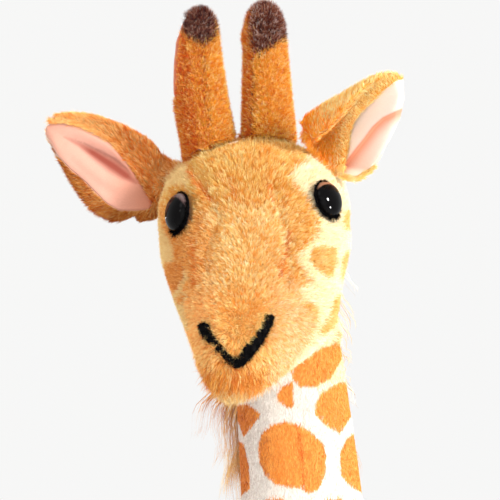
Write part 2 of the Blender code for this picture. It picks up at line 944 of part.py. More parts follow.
def build_horn(hand, side, lean, bow, head_cutter):
    """A tapered stuffed horn and its dark tip, leaning and bowed in the plane seen from the front."""
    place = head_place()
    roll = Matrix.Rotation(head_roll, 4, "Y")
    middle = place.translation + roll @ Vector((horn_aside + side * horn_apart, horn_back, horn_foot))
    up = Vector((math.sin(lean), math.sin(horn_tilt), math.cos(lean))).normalized()
    frame = facing(middle, up)
    height = horn_length + horn_foot
    split = height - horn_dark
    taper = (horn_radius - horn_tip_radius) / height
    joint_radius = horn_radius - taper * split
    profile = [(0, split)]
    for k in range(horn_steps + 1):
        share = k / horn_steps
        profile.append((joint_radius + (horn_radius - joint_radius) * share, split * (1 - share)))
    profile.append((0, 0))
    horn = turned(hand + "_horn", profile, frame, parts, small_steps)
    bow_aside(horn, height, bow)
    cut(horn, head_cutter)
    finish_piece(horn, material("orange_plush", plush_orange, 0.9))
    tip = [(0, height)]
    shoulder = height - horn_tip_radius
    for k in range(1, horn_tip_steps + 1):
        angle = math.pi / 2 * (1 - k / horn_tip_steps)
        tip.append((horn_tip_radius * math.cos(angle), shoulder + horn_tip_radius * math.sin(angle)))
    tip += [(joint_radius, split + gap), (0, split + gap)]
    cap = turned(hand + "_horn_tip", tip, frame, parts, small_steps)
    bow_aside(cap, height, bow)
    finish_piece(cap, material("brown_plush", plush_brown, 0.9))
    return horn, cap


def ear_frame(ear):
    """An ear's directions: out along it, up across it, out of its hollow side, and its hinge."""
    side, rise, sweep, twist = (ear[name] for name in ("side", "raise", "sweep", "twist"))
    out = Vector((side * math.cos(rise) * math.cos(sweep), -math.sin(sweep),
                  math.sin(rise) * math.cos(sweep))).normalized()
    front = (-y_axis + out * y_axis.dot(out)).normalized()
    up = front.cross(out) * side
    across = up * math.cos(twist) + front * math.sin(twist)
    hollow = front * math.cos(twist) - up * math.sin(twist)
    return out, across, hollow, up


def ear_heading(ear, share, upper):
    """How far the cloth has bent at a share of its way across, never tighter than its fold."""
    start, end = ear["bend_shares"]
    part_way = min(1, max(0, (share - start) / (end - start)))
    length = ear_half_width * upper * (end - start)
    return min(ear["bend"], length / ear_fold_radius) * part_way


def ear_row(ear, upper, lower):
    """Points across the ear, each with the cloth's direction there, from the lower edge up."""
    row = {0: (0, 0)}
    for direction in (-1, 1):
        reach = ear_half_width * (upper if direction > 0 else lower)
        x = y = last = 0
        for k in range(1, ear_path_steps + 1):
            share = direction * k / ear_path_steps
            heading = ear_heading(ear, (share + last) / 2, upper)
            x += direction * reach / ear_path_steps * math.cos(heading)
            y += direction * reach / ear_path_steps * math.sin(heading)
            last = share
            row[share] = (x, y)
    places = []
    for share in ear_column_shares:
        nearest = min(row, key=lambda found: abs(found - share))
        places.append((*row[nearest], ear_heading(ear, share, upper)))
    return places


def ear_sheet(name, ear, rows, start, lift, thickness, group):
    """A leaf of cloth, bent or folded across its length, lifted off its middle sheet."""
    out, across, hollow, _ = ear_frame(ear)
    bm = bmesh.new()
    grid = []
    for along, upper, lower in rows:
        line = []
        for x, y, heading in ear_row(ear, upper, lower):
            x -= lift * math.sin(heading)
            y += lift * math.cos(heading)
            line.append(bm.verts.new(start + out * ear["length"] * along + across * x + hollow * y))
        grid.append(line)
    for near, far in zip(grid, grid[1:]):
        for k in range(len(near) - 1):
            bm.faces.new((near[k], near[k + 1], far[k + 1], far[k]))
    sheet = mesh_object(name, bm, group)
    shell = sheet.modifiers.new("Cloth", "SOLIDIFY")
    shell.thickness = thickness
    shell.offset = 0
    add_subdivision(sheet)
    return sheet


def build_ear(ear, head, head_clear):
    """An ear leaf with a rounded root in the head's side, and its lining."""
    hand, side = ear["hand"], ear["side"]
    place = head_place()
    start = place @ Vector((0, -ear_along, 0))
    sideways, height = ear["root"]
    aim = (place.to_3x3() @ Vector((side * sideways, 0, height))).normalized()
    point, _ = surface_along(head_surface, start, aim)
    centre = point + aim * ear["stand_off"]
    cut(head, ball(hand + "_ear_socket", centre, bowl_radius(ear_ball), cutters))
    leaf = ear_sheet(hand + "_ear", ear, ear["cloth"], centre, 0, ear_thickness, parts)
    cut(leaf, head_clear)
    combine(leaf, ball(hand + "_ear_root", centre, ear_ball, cutters), "UNION")
    finish_piece(leaf, material("orange_plush", plush_orange, 0.9))
    lift = (ear_thickness + lining_thickness) / 2 + lining_gap
    lining = ear_sheet(hand + "_ear_lining", ear, ear["lining"], centre, lift, lining_thickness, parts)
    cut(lining, head_clear, ball(hand + "_ear_root_clear", centre, bowl_radius(ear_ball), cutters))
    finish_piece(lining, material("pink_plush", plush_pink, 0.9))
    hinge = axis_empty(hand + "_ear_axis", facing(centre, ear_frame(ear)[3]), head_hinge)
    hang(leaf, hinge)
    hang(lining, hinge)


def build_mouth(head):
    """The V of black yarn, half sunk in the muzzle."""
    middle = head_place().translation
    clear_y = middle.y - head_length
    marks = []
    for across, height in mouth_shares:
        mark, _ = surface_from_front(head_surface, middle.x + head_half_width * across,
                                     middle.z + head_half_width * height, clear_y)
        marks.append(mark)
    yarn = tube("mouth_yarn", marks, yarn_radius, parts)
    groove = bore("mouth_groove", marks, yarn_radius)
    cut(head, groove)
    finish_piece(yarn, material("black_yarn", yarn_black, 0.85))
    return yarn


def tail_place():
    """The middle of the tail's root, on the rump."""
    rump = body_sections()[-2][0]
    start = Vector((0, rear_leg_y, rump.z + tail_rise))
    point, normal = surface_along(body_surface, start, y_axis)
    return point + normal * tail_ball * tail_sunk_share


def build_tail(centre):
    """A thin tail with a rounded root, and the dark tuft at its end."""
    points = []
    for k in range(tail_sections + 1):
        share = k / tail_sections
        points.append(centre + y_axis * tail_out * math.sin(share * tail_curl)
                      - z_axis * tail_length * share ** tail_drop_power)
    tail = tube("tail", points, tail_radius, parts)
    combine(tail, ball("tail_root", centre, tail_ball, cutters), "UNION")
    finish_piece(tail, material("white_plush", plush_white, 0.9))
    axis = (points[-2] - points[-1]).normalized()
    top = points[-1] - axis * gap
    profile = [(tuft_radius * out, -tuft_length * down) for out, down in tuft_shares]
    tuft = turned("tail_tuft", profile, facing(top, axis), parts, tuft_steps)
    finish_piece(tuft, material("brown_plush", plush_brown, 0.9))
    hinge = axis_empty("tail_axis", facing(centre, y_axis), root)
    hang(tail, hinge)
    hang(tuft, hinge)


def whole_bounds():
    """The corners of everything in the toy's own collection."""
    bpy.context.view_layer.update()
    seen = bpy.context.evaluated_depsgraph_get()
    corners = []
    for thing in parts.objects:
        if thing.type == "MESH":
            look = thing.evaluated_get(seen)
            corners += [thing.matrix_world @ vertex.co for vertex in look.data.vertices]
    low = Vector([min(point[k] for point in corners) for k in range(3)])
    high = Vector([max(point[k] for point in corners) for k in range(3)])
    return low, high


def centre_on_floor():
    """Moves the toy so that its box stands on the origin."""
    low, high = whole_bounds()
    middle = (low + high) / 2
    root.location = (-middle.x, -middle.y, -low.z)
    bpy.context.view_layer.update()


clear_scene()
parts = new_collection(root_name)
cutters = new_collection("cutters")
leg_bores = {}
root = axis_empty(root_name, Matrix.Identity(4), None)
neck_hinge = axis_empty("neck_axis", facing(neck_point(0), x_axis), root)
head_hinge = axis_empty("head_axis", facing(neck_point(1), neck_axis(1)), neck_hinge)

body_shape = baked(body_form("body_shape", 0, True, cutters))
body_surface = seen_surface(body_shape)
head_shape = baked(head_form("head_shape", 0, True, cutters))
head_surface = seen_surface(head_shape)
tail_centre = tail_place()
tail_socket = ball("tail_socket", tail_centre, bowl_radius(tail_ball), cutters)

build_legs(body_form("body_for_legs", gap, True, cutters))
build_body()
build_tail(tail_centre)
build_neck()
build_mane()

head_for_horns = head_form("head_for_horns", gap, True, cutters)
head_for_ears = head_form("head_for_ears", ear_clearance, True, cutters)
head_skin, head_filling = build_head()
for hand, side in (("left", 1), ("right", -1)):
    for piece in build_eye(hand, side, head_skin, head_filling):
        hang(piece, head_hinge)
for horn_spec in horn_bends:
    for piece in build_horn(*horn_spec, head_for_horns):
        hang(piece, head_hinge)
build_ear(folded_ear, head_skin, head_for_ears)
build_ear(open_ear, head_skin, head_for_ears)
for piece in (head_skin, head_filling, build_mouth(head_skin), build_crest(head_for_horns)):
    hang(piece, head_hinge)
for tool in cutters.objects:
    hang(tool, root)
centre_on_floor()
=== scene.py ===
import json
import math

import bmesh
import bpy
import numpy as np
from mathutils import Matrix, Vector
from mathutils.bvhtree import BVHTree
from mathutils.geometry import delaunay_2d_cdt


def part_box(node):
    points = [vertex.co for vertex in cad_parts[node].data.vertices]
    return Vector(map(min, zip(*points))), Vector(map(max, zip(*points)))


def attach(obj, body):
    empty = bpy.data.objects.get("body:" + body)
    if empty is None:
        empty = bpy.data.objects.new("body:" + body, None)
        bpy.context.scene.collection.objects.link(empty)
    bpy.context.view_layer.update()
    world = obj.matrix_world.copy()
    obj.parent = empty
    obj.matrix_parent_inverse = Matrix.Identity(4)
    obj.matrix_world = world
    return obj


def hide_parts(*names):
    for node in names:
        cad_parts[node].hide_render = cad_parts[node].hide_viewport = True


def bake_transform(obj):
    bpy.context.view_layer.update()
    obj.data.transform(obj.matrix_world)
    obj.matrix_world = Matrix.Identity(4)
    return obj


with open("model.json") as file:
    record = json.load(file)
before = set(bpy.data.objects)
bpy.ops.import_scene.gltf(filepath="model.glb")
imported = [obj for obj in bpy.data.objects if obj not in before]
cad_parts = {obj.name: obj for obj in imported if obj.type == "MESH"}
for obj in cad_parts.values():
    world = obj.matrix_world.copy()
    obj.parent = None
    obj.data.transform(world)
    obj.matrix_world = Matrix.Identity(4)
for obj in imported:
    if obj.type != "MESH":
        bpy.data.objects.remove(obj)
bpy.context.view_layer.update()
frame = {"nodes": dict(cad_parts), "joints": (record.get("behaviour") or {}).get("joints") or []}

nodes = frame["nodes"]
joints = {joint["name"]: joint for joint in frame["joints"]}
head_pivot = Vector(joints["head_turn"]["pos_m"])
neck_pivot = Vector(joints["neck_bend"]["pos_m"])

# The photo's camera: it looks straight back at the head, where one pixel is half a millimetre
camera_distance = 1.3
view_width = 0.25
camera_place = Vector((head_pivot.x - 0.0145, head_pivot.y + 0.003 - camera_distance, head_pivot.z + 0.019))
photo_pixels = 500
photo_middle = photo_pixels / 2
pixel_size = view_width / photo_pixels
pixel_focus = photo_pixels * camera_distance / view_width

# The palette has a cell for each zone and shade
share_of_strands = 1.0
strands_in_piece = 60000
palette_side = 16
shades = 8

# Coat colours as 0 to 255 values: the end of the lightest strand, and the root of the deepest one
coat_colours = {
    "crown": ((247, 245, 189), (221, 136, 44)),
    "bridge": ((251, 255, 221), (236, 165, 76)),
    "muzzle": ((255, 255, 195), (240, 160, 68)),
    # Painted shade on the muzzle's left and painted light on its right, where the key lamp falls
    "muzzle_shaded_left": ((255, 232, 164), (247, 169, 90)),
    "muzzle_lit_right": ((253, 234, 202), (244, 188, 112)),
    "side_left": ((254, 222, 151), (219, 128, 50)),
    "chin": ((243, 189, 102), (209, 113, 32)),
    "lip": ((246, 233, 193), (225, 171, 94)),
    "cream": ((255, 250, 230), (255, 228, 176)),
    "cream_left": ((246, 222, 160), (232, 190, 126)),
    "patch_right": ((249, 220, 160), (231, 173, 85)),
    "patch_left": ((248, 196, 120), (212, 124, 52)),
    "streak": ((244, 166, 88), (214, 96, 28)),
    "horn": ((255, 255, 210), (230, 132, 20)),
    "horn_dark": ((255, 246, 166), (200, 62, 2)),
    "horn_deep": ((255, 206, 100), (250, 132, 20)),
    "seam": ((214, 110, 40), (120, 40, 8)),
    "tip": ((236, 172, 140), (22, 2, 1)),
    "tip_light": ((255, 255, 255), (84, 22, 6)),
    "ear": ((246, 218, 162), (202, 94, 23)),
    "ear_low": ((205, 151, 84), (156, 70, 11)),
    "flap": ((255, 244, 196), (255, 206, 112)),
    "ear_top": ((255, 232, 170), (244, 160, 78)),
    "neck_white": ((252, 248, 243), (243, 235, 225)),
    "neck_patch": ((255, 200, 114), (238, 144, 56)),
    # Painted shade: darker white and darker patches for the neck's left side, away from the key lamp
    "neck_white_shaded": ((240, 232, 226), (222, 208, 198)),
    "neck_patch_shaded": ((236, 160, 92), (206, 114, 50)),
    "mane": ((255, 228, 166), (238, 176, 104)),
    "mane_dark": ((250, 200, 134), (216, 144, 78)),
    "hoof": ((130, 86, 66), (60, 34, 24)),
    "black": ((14, 13, 14), (6, 5, 6)),
}
zone_names = list(coat_colours)
zone = {name: k for k, name in enumerate(zone_names)}

# Places in the photo, in its pixels
cheek_right = ((288, 178), (298, 168), (308, 158), (322, 150), (342, 156), (358, 188), (358, 260), (352, 300),
               (340, 330), (322, 352), (300, 366), (284, 374), (296, 352), (306, 340), (314, 330), (316, 322),
               (308, 314),
               (300, 300), (297, 290), (304, 286), (311, 283), (306, 276), (300, 268), (295, 258), (300, 252),
               (308, 246), (315, 236), (318, 226), (316, 214), (306, 200), (296, 188))
cheek_left = ((146, 190), (150, 178), (160, 168), (172, 161), (184, 160), (190, 168), (192, 180), (190, 192),
              (184, 187), (174, 187), (166, 195), (162, 207), (162, 220), (166, 232), (172, 240), (175.6, 250),
              (175, 257.5), (176, 263), (187.5, 271), (189.5, 278), (186, 287), (183, 293), (188.5, 291), (190, 297),
              (186, 305), (188, 314), (192, 326), (184, 332), (176, 326), (166, 306), (156, 280), (148, 250))
head_patches_right = (
    ((309, 250), (321, 246), (334, 248), (335, 262), (331, 276), (326, 279), (318, 272), (308, 262)),
    ((339, 262), (343, 253), (356, 248), (356, 288), (342, 293), (339, 280)),
    ((331, 300), (338, 294), (342, 304), (338, 318), (328, 330), (319, 335), (317, 328), (326, 318)),
    ((304, 302), (312, 303), (317, 312), (314, 322), (306, 330), (300, 322)),
    ((342, 214), (350, 208), (353, 224), (347, 233), (341, 226)),
)
head_patches_left = (
    ((167.5, 263.5), (173.5, 262), (180, 265), (185.5, 270.5), (186, 277), (182.5, 284), (179, 291), (175, 295),
     (171.5, 289), (168.5, 280), (167, 271)),
    ((178.5, 300), (181.5, 296), (186, 294), (187.5, 297), (184, 302.5), (181, 306)),
)
neck_patches = (
    ((258, 447), (262, 432), (272, 424), (286, 420), (297, 422), (300, 440), (303, 465), (304, 488), (290, 486),
     (276, 483), (266, 475), (260, 462)),
    ((295, 423), (304, 427), (313, 433), (322, 442), (326, 455), (325, 475), (318, 488), (308, 493), (303, 488),
     (302, 465), (299, 440)),
    ((289.5, 367.5), (294, 359), (310, 351), (330, 344), (337.5, 338), (342, 355), (336, 367.5), (330, 377.5),
     (315, 386), (300, 386), (292.5, 377.5)),
    ((276, 394), (282.5, 386), (292.5, 380), (293, 390), (294, 407), (286, 405.5), (277.5, 399)),
    ((232, 404), (247.5, 402.5), (261, 412.5), (256, 420), (244, 436), (239, 422)),
    ((315, 402.5), (320, 394), (330, 386), (340, 381), (350, 382.5), (352, 412.5), (340, 432.5), (325, 424),
     (315, 412.5)),
    ((354, 429), (345, 440), (340, 450), (341, 475), (350, 485), (364, 492.5), (364, 460), (358, 440)),
    ((234, 436), (244, 442.5), (249, 465), (250, 487.5), (240, 495), (234, 465)),
    ((262, 508), (265, 499), (281, 497), (292, 506), (296, 522), (288, 534), (272, 537), (262, 526)),
    ((318, 512), (325, 499), (340, 498), (347, 512), (346, 532), (332, 538), (320, 530)),
)
white_foot_height = 0.085
neck_fold = ((297, 422), (300, 440), (303, 465), (304, 490))
mouth_path = ((205, 326), (207.5, 332), (211, 339), (217.5, 347.5), (223, 354), (229, 360.5), (234.5, 364),
              (239, 361), (245, 352), (253, 342), (260, 332), (264.5, 323.5), (268.5, 315))
mouth_half_widths = (4.4, 6.0, 5.4, 3.8, 3.5, 4.0, 5.2, 5.8, 6.8, 6.3, 5.6, 5.2, 5.0)
tip_outlines = {
    "right": ((180, -20), (184, 35), (194, 41), (205, 46), (214, 36), (216, 14), (212, -20)),
    "left": ((251, -20), (252, 44), (258, 56), (272, 47), (290, 34), (292, -20)),
}
# How far the toy's right horn bulges to its left, in metres for rows of the photo
horn_swell = ((10, 0.0), (22, 0.0006), (32, 0.0009), (44, 0.0015), (56, 0.0028), (66, 0.0033), (80, 0.0036),
              (92, 0.0036), (97, 0.0030), (101, 0.0023), (110, 0.0023), (124, 0.0016), (142, 0.0005), (158, 0.0))
# The same for the two cheeks, which stand out to their own sides
right_cheek_swell = ((236, 0.0), (262, 0.0018), (300, 0.0022), (330, 0.0020), (350, 0.0008), (372, 0.0))
left_cheek_swell = ((226, 0.0), (246, 0.0016), (262, 0.0020), (290, 0.0016), (312, 0.0024), (334, 0.0040),
                    (350, 0.0024), (366, 0.0))
horn_seams = {"right": ((198, 8), (203, 57), (210, 126), (212, 150)), "left": ((258, 8), (252.7, 55), (252.7, 150))}
ear_pinks = {
    "right": ((46, 127), (52, 122.5), (64, 122.5), (80, 126.5), (96, 133.5), (110, 141.5), (120, 153), (130, 165),
              (138, 177), (146, 190), (153, 201), (150, 209), (134, 211), (118, 210), (106, 203), (94, 191),
              (82, 179), (70, 169), (58, 157), (50, 143), (45, 134)),
    "left": ((343, 165), (347.5, 148), (348, 133), (353, 120), (363, 107), (373, 98), (383, 88), (393, 82),
             (398, 77), (404, 80), (404.5, 100), (401, 117), (395, 130), (388, 144), (379, 158), (371, 168),
             (357, 176.5), (343, 176)),
}
# The parts of the ears without pile: the linings, and a little past them where the leaf turns away
bare_parts = {
    "right": ((36, 126),) + ear_pinks["right"][1:-2] + ((48, 143), (38, 134)),
    "left": ear_pinks["left"][:8] + ((400, 76), (416, 78), (416, 120), (404, 142), (392, 160), (376, 172),
                                     (356, 178), (343, 176)),
}
ear_hem = ((339, 176), (348, 179), (357, 178.5), (365, 173), (371, 166))
lining_cuts = {"left": (0.052, 0.026), "right": (0.066, 0.024)}
flap_cut = (0.060, 0.024)
ear_slit = ((64, 137, 1.2), (80, 145, 3.0), (96, 155, 5.6), (112, 165.5, 7.2), (124, 174, 6.0), (136, 183, 1.8))
upper_rim = ((50, 121), (64, 121), (80, 125), (96, 132), (110, 140), (121, 152), (131, 164), (139, 176),
             (147, 189), (155, 203))
ear_flap = ((300, 122), (305, 117), (312, 111.5), (323, 104), (340, 94.5), (357, 84.5), (370, 77.5), (380, 74),
            (389, 73), (398, 74.5), (404, 78), (400, 81), (393, 84), (384, 90), (374, 100), (364, 109),
            (354.5, 121), (349.5, 133), (349, 148), (344, 165), (336, 169), (328, 166), (320, 157), (312, 144),
            (305, 133))
flap_edge = ear_flap[11:20]
ear_foot = ((304, 132), (312, 144), (320, 156), (328, 165), (336, 169), (344, 166))
ear_fold = ((343, 166), (357, 148), (365, 138), (373, 127), (383, 118), (402, 109))
creases = (
    ((190, 160), (204, 184), (214, 206), (220, 220)),
    ((222, 217), (214, 238), (208, 256), (210, 276)),
    ((272, 186), (279, 206), (286, 240), (289, 265), (286, 286)),
)
ear_root = ((138, 128), (168, 140), (184, 152), (178, 168), (160, 188), (138, 184))
# Locks beside the neck: name, spread, strands in each, colours, and their paths in the photo
mane_locks = (
    ("left_side_locks", 0.0013, 90, ("mane", "mane_dark"), (
        ((226, 384), (214, 389), (204, 402), (198, 418), (193, 440)),
        ((232, 388), (222, 398), (216, 413), (214, 433), (217, 452), (213, 470)),
        ((235, 392), (227, 406), (223, 424), (221, 444), (225, 464), (221, 488), (219, 508)),
        ((238, 398), (232, 418), (229, 440), (231, 460), (226, 482), (229, 508)),
        ((236, 402), (228, 430), (226, 456), (229, 480), (224, 506)),
        ((241, 392), (236, 420), (236, 450), (237, 480), (239, 512)),
        ((243, 396), (238, 430), (238, 460), (239, 490), (241, 516)),
        ((240, 440), (233, 470), (231, 496), (234, 525)),
    )),
    ("right_side_locks", 0.0013, 20, ("mane", "cream"), (
        ((338, 262), (350, 272), (357, 288)),
        ((338, 292), (349, 303), (354, 322)),
        ((338, 318), (347, 330), (352, 346)),
        ((340, 345), (349, 354), (353, 362)),
        ((348, 380), (355, 394), (359, 408)),
    )),
)
horn_line = ((186, 159), (196, 152), (208, 147.5), (222, 144), (236, 142.5), (252, 142.5), (268, 143.5), (282, 146),
             (297, 151))
streaks = (
    (((184, 163), (193, 176), (200, 186), (206, 193), (213, 202)), 0.8, 2.4),
    (((268, 188), (269, 194), (271, 201)), 0.7, 1.8),
    (((192, 240), (195, 250), (196, 266), (196, 284)), 0.6, 2.2),
    (((289, 232), (286, 250), (282, 262), (280, 276)), 0.5, 2.4),
    (((233, 366), (235, 373), (236, 382)), 0.8, 1.8),
    (((222, 176), (232, 188), (238, 204)), 0.3, 3.0),
)


def unit(vectors):
    length = np.linalg.norm(vectors, axis=1, keepdims=True)
    return vectors / np.maximum(length, 1e-12)


def linear(colour):
    """A colour of 0 to 255 values as linear light."""
    share = np.array(colour, float) / 255
    return np.where(share <= 0.04045, share / 12.92, ((share + 0.055) / 1.055) ** 2.4)


def pixels_of(points):
    """Where points fall in the photo."""
    away = points[:, 1] - camera_place.y
    across = photo_middle + (points[:, 0] - camera_place.x) * pixel_focus / away
    down = photo_middle - (points[:, 2] - camera_place.z) * pixel_focus / away
    return np.stack([across, down], 1)


def points_at(pixels, away):
    """The points behind pixels that are so far back from the camera."""
    across = (pixels[:, 0] - photo_middle) / pixel_focus * away
    up = (photo_middle - pixels[:, 1]) / pixel_focus * away
    return np.stack([across, away, up], 1) + np.array(camera_place)


def ray_of(across, down):
    """The direction from the camera through a pixel."""
    return Vector(((across - photo_middle) / pixel_focus, 1, (photo_middle - down) / pixel_focus)).normalized()


def spot_behind(across, down, back):
    """The place behind a pixel whose y is back."""
    ray = ray_of(across, down)
    return camera_place + ray * ((back - camera_place.y) / ray.y)


def within(pixels, outline):
    """Whether each pixel lies in an outline."""
    x, y = pixels[:, 0], pixels[:, 1]
    inside = np.zeros(len(pixels), bool)
    for (x0, y0), (x1, y1) in zip(outline, outline[1:] + outline[:1]):
        if y0 != y1:
            crosses = (y0 > y) != (y1 > y)
            inside ^= crosses & (x < (x1 - x0) * (y - y0) / (y1 - y0) + x0)
    return inside


def path_distance(pixels, path):
    """How far each pixel is from a path."""
    best = np.full(len(pixels), 1e9)
    for start, end in zip(path, path[1:]):
        a, d = np.array(start, float), np.subtract(end, start).astype(float)
        t = np.clip(((pixels - a) @ d) / (d @ d), 0, 1)
        best = np.minimum(best, np.linalg.norm(pixels - a - t[:, None] * d, axis=1))
    return best


def path_side(pixels, path):
    """How far each pixel is below a path that goes to the right, and how far along it, from 0 to 1.

    A third number in the path's points is carried along, as its value beside each pixel.
    """
    best = np.full(len(pixels), 1e9)
    below, along, carried = np.zeros((3, len(pixels)))
    for k, (start, end) in enumerate(zip(path, path[1:])):
        a, d = np.array(start[:2], float), np.subtract(end[:2], start[:2]).astype(float)
        t = np.clip(((pixels - a) @ d) / (d @ d), 0, 1)
        gap = pixels - a - t[:, None] * d
        away = np.linalg.norm(gap, axis=1)
        near = away < best
        best[near] = away[near]
        side = np.sign(d[0] * gap[:, 1] - d[1] * gap[:, 0])
        below[near] = (side * away)[near]
        along[near] = ((k + t) / (len(path) - 1))[near]
        carried[near] = (start[-1] * (1 - t) + end[-1] * t)[near]
    return below, along, carried


def ripple(points, wavelength, seed):
    """A smooth wandering vector for each point, of about unit size."""
    rng = np.random.default_rng(seed)
    total = np.zeros((len(points), 3))
    for _ in range(5):
        wave = rng.normal(size=3)
        wave *= math.tau / wavelength * rng.uniform(0.6, 1.5) / np.linalg.norm(wave)
        phase = (points @ wave)[:, None] + rng.uniform(0, math.tau, 3)
        total += np.sin(phase)
    return total / math.sqrt(2.5)


# Meshes in and out of arrays

def mesh_arrays(mesh):
    """A mesh's points, point normals and triangles."""
    mesh.calc_loop_triangles()
    points = np.empty(len(mesh.vertices) * 3, np.float32)
    mesh.vertices.foreach_get("co", points)
    normals = np.empty(len(mesh.vertices) * 3, np.float32)
    mesh.vertex_normals.foreach_get("vector", normals)
    corners = np.empty(len(mesh.loop_triangles) * 3, np.int32)
    mesh.loop_triangles.foreach_get("vertices", corners)
    return points.reshape(-1, 3).astype(float), normals.reshape(-1, 3).astype(float), corners.reshape(-1, 3)


def link(name, data):
    made = bpy.data.objects.new(name, data)
    bpy.context.scene.collection.objects.link(made)
    return made


def mesh_from(name, bm):
    """A mesh with what a bmesh holds, which is let go."""
    mesh = bpy.data.meshes.new(name)
    bm.to_mesh(mesh)
    bm.free()
    return mesh


def set_points(mesh, points):
    mesh.vertices.foreach_set("co", points.astype(np.float32).ravel())
    mesh.update()


def set_coat(mesh, colours):
    """Gives a mesh its coat colours, one for each point."""
    full = np.ones((len(colours), 4), np.float32)
    full[:, :3] = colours
    mesh.attributes.new("coat", "FLOAT_COLOR", "POINT").data.foreach_set("color", full.ravel())


def softened(thing, kind, settings, factor, rounds):
    """Applies one modifier and then a smoothing."""
    first = thing.modifiers.new(kind, kind)
    for name, value in settings.items():
        setattr(first, name, value)
    soften = thing.modifiers.new("Soften", "SMOOTH")
    soften.factor = factor
    soften.iterations = rounds
    bpy.context.view_layer.update()
    seen = thing.evaluated_get(bpy.context.evaluated_depsgraph_get())
    thing.data = bpy.data.meshes.new_from_object(seen)
    thing.modifiers.clear()


def largest_part(bm):
    """Leaves only the largest connected part of a mesh."""
    left, groups = set(bm.verts), []
    while left:
        front = [left.pop()]
        group = list(front)
        while front:
            fresh = {edge.other_vert(vert) for vert in front for edge in vert.link_edges} & left
            left -= fresh
            front = list(fresh)
            group += front
        groups.append(group)
    groups.sort(key=len)
    bmesh.ops.delete(bm, geom=[vert for group in groups[:-1] for vert in group], context="VERTS")


def plump(name, node_names, plugs, voxel, inset, relax=6):
    """One closed smooth form round CAD solids, moved in to leave room for the pile.

    plugs are balls of centre and radius that close sockets or reach into what carries it.
    """
    bm = bmesh.new()
    for node in node_names:
        bm.from_mesh(nodes[node].data)
    bmesh.ops.remove_doubles(bm, verts=bm.verts, dist=1e-6)
    for centre, radius in plugs:
        made = bmesh.ops.create_icosphere(bm, subdivisions=3, radius=radius)
        bmesh.ops.translate(bm, verts=made["verts"], vec=centre)
    thing = link(name, mesh_from(name, bm))
    softened(thing, "REMESH", {"mode": "VOXEL", "voxel_size": voxel}, 0.5, relax)
    bm = bmesh.new()
    bm.from_mesh(thing.data)
    largest_part(bm)
    bm.to_mesh(thing.data)
    bm.free()
    points, normals, _ = mesh_arrays(thing.data)
    set_points(thing.data, points - normals * inset)
    thing.data.shade_smooth()
    return thing


def move_points(thing, shift):
    """Moves a mesh's points by an array of vectors."""
    set_points(thing.data, mesh_arrays(thing.data)[0] + shift)


def surface_of(thing):
    """A tree of a thing's faces."""
    points, _, corners = mesh_arrays(thing.data)
    return BVHTree.FromPolygons(points.tolist(), corners.tolist())


def inside_of(points, tree, depth):
    """Which points lie inside a closed form, at least so deep."""
    found = np.zeros(len(points), bool)
    for k, point in enumerate(points):
        place, normal, _, distance = tree.find_nearest(point)
        side = (Vector(point) - place).dot(normal)
        found[k] = side < 0 and distance >= depth
    return found


def clear_of(points, *trees):
    """1 for the points that are in none of the closed forms, and 0 for the rest, as scatter wants them."""
    hidden = np.zeros(len(points), bool)
    for tree in trees:
        hidden |= inside_of(points, tree, 0.001)
    return (~hidden).astype(float)


# Materials

def new_material(name):
    made = bpy.data.materials.new(name)
    made.use_nodes = True
    tree = made.node_tree
    return made, tree, tree.nodes["Principled BSDF"]


def feed(tree, node, inputs):
    """Sets a node's inputs to values, or joins them to other nodes' outputs."""
    for name, value in inputs.items():
        if isinstance(value, bpy.types.NodeSocket):
            tree.links.new(value, node.inputs[name])
        else:
            node.inputs[name].default_value = value


def add_node(tree, kind, output, inputs, **settings):
    """Adds a node with its settings and inputs, and returns one of its outputs."""
    made = tree.nodes.new("ShaderNode" + kind)
    for name, value in settings.items():
        setattr(made, name, value)
    feed(tree, made, inputs)
    return made.outputs[output]


def noise(tree, **inputs):
    place = add_node(tree, "TexCoord", "Object", {})
    return add_node(tree, "TexNoise", "Fac", {**inputs, "Vector": place})


def coat_material(name, roughness, sheen, specular, bump_size=0.0, grain_share=0.5, bump_depth=0.0008):
    """Pile coloured by the mesh's own coat colours; the cloth under it also gets a fine bump."""
    made, tree, shader = new_material(name)
    colour = add_node(tree, "Attribute", "Color", {}, attribute_name="coat")
    if bump_size:
        grain = noise(tree, Scale=1 / bump_size, Detail=3)
        colour = add_node(tree, "Mix", "Result", {"Factor": grain_share, "A": colour, "B": grain},
                          data_type="RGBA", blend_type="MULTIPLY")
        bump = add_node(tree, "Bump", "Normal", {"Strength": 0.5, "Distance": bump_depth, "Height": grain})
        feed(tree, shader, {"Normal": bump})
    feed(tree, shader, {"Base Color": colour, "Roughness": roughness, "Sheen Weight": sheen, "Sheen Roughness": 0.5,
                        "Specular IOR Level": specular})
    return made


def dress(thing, coat):
    thing.data.materials.clear()
    thing.data.materials.append(coat)


# Coats: the zone of each place on the toy

def patch_cells(points, seeds, gap):
    """Whether each place is in a patch between seeds, clear of the lines between them by half the gap."""
    inside = np.zeros(len(points), bool)
    wander = points + ripple(points, 0.035, 71) * 0.0018
    for start in range(0, len(points), 20000):
        some = wander[start:start + 20000]
        away = np.linalg.norm(some[:, None, :] - seeds[None], axis=2)
        near = np.partition(away, 1, axis=1)[:, :2]
        inside[start:start + 20000] = near[:, 1] - near[:, 0] > gap
    return inside


def spread_seeds(points, spacing, seed):
    """Places picked from points, each at least the spacing from the others."""
    rng = np.random.default_rng(seed)
    chosen = []
    for point in points[rng.permutation(len(points))]:
        if all(np.linalg.norm(point - other) > spacing for other in chosen):
            chosen.append(point)
    return np.array(chosen)


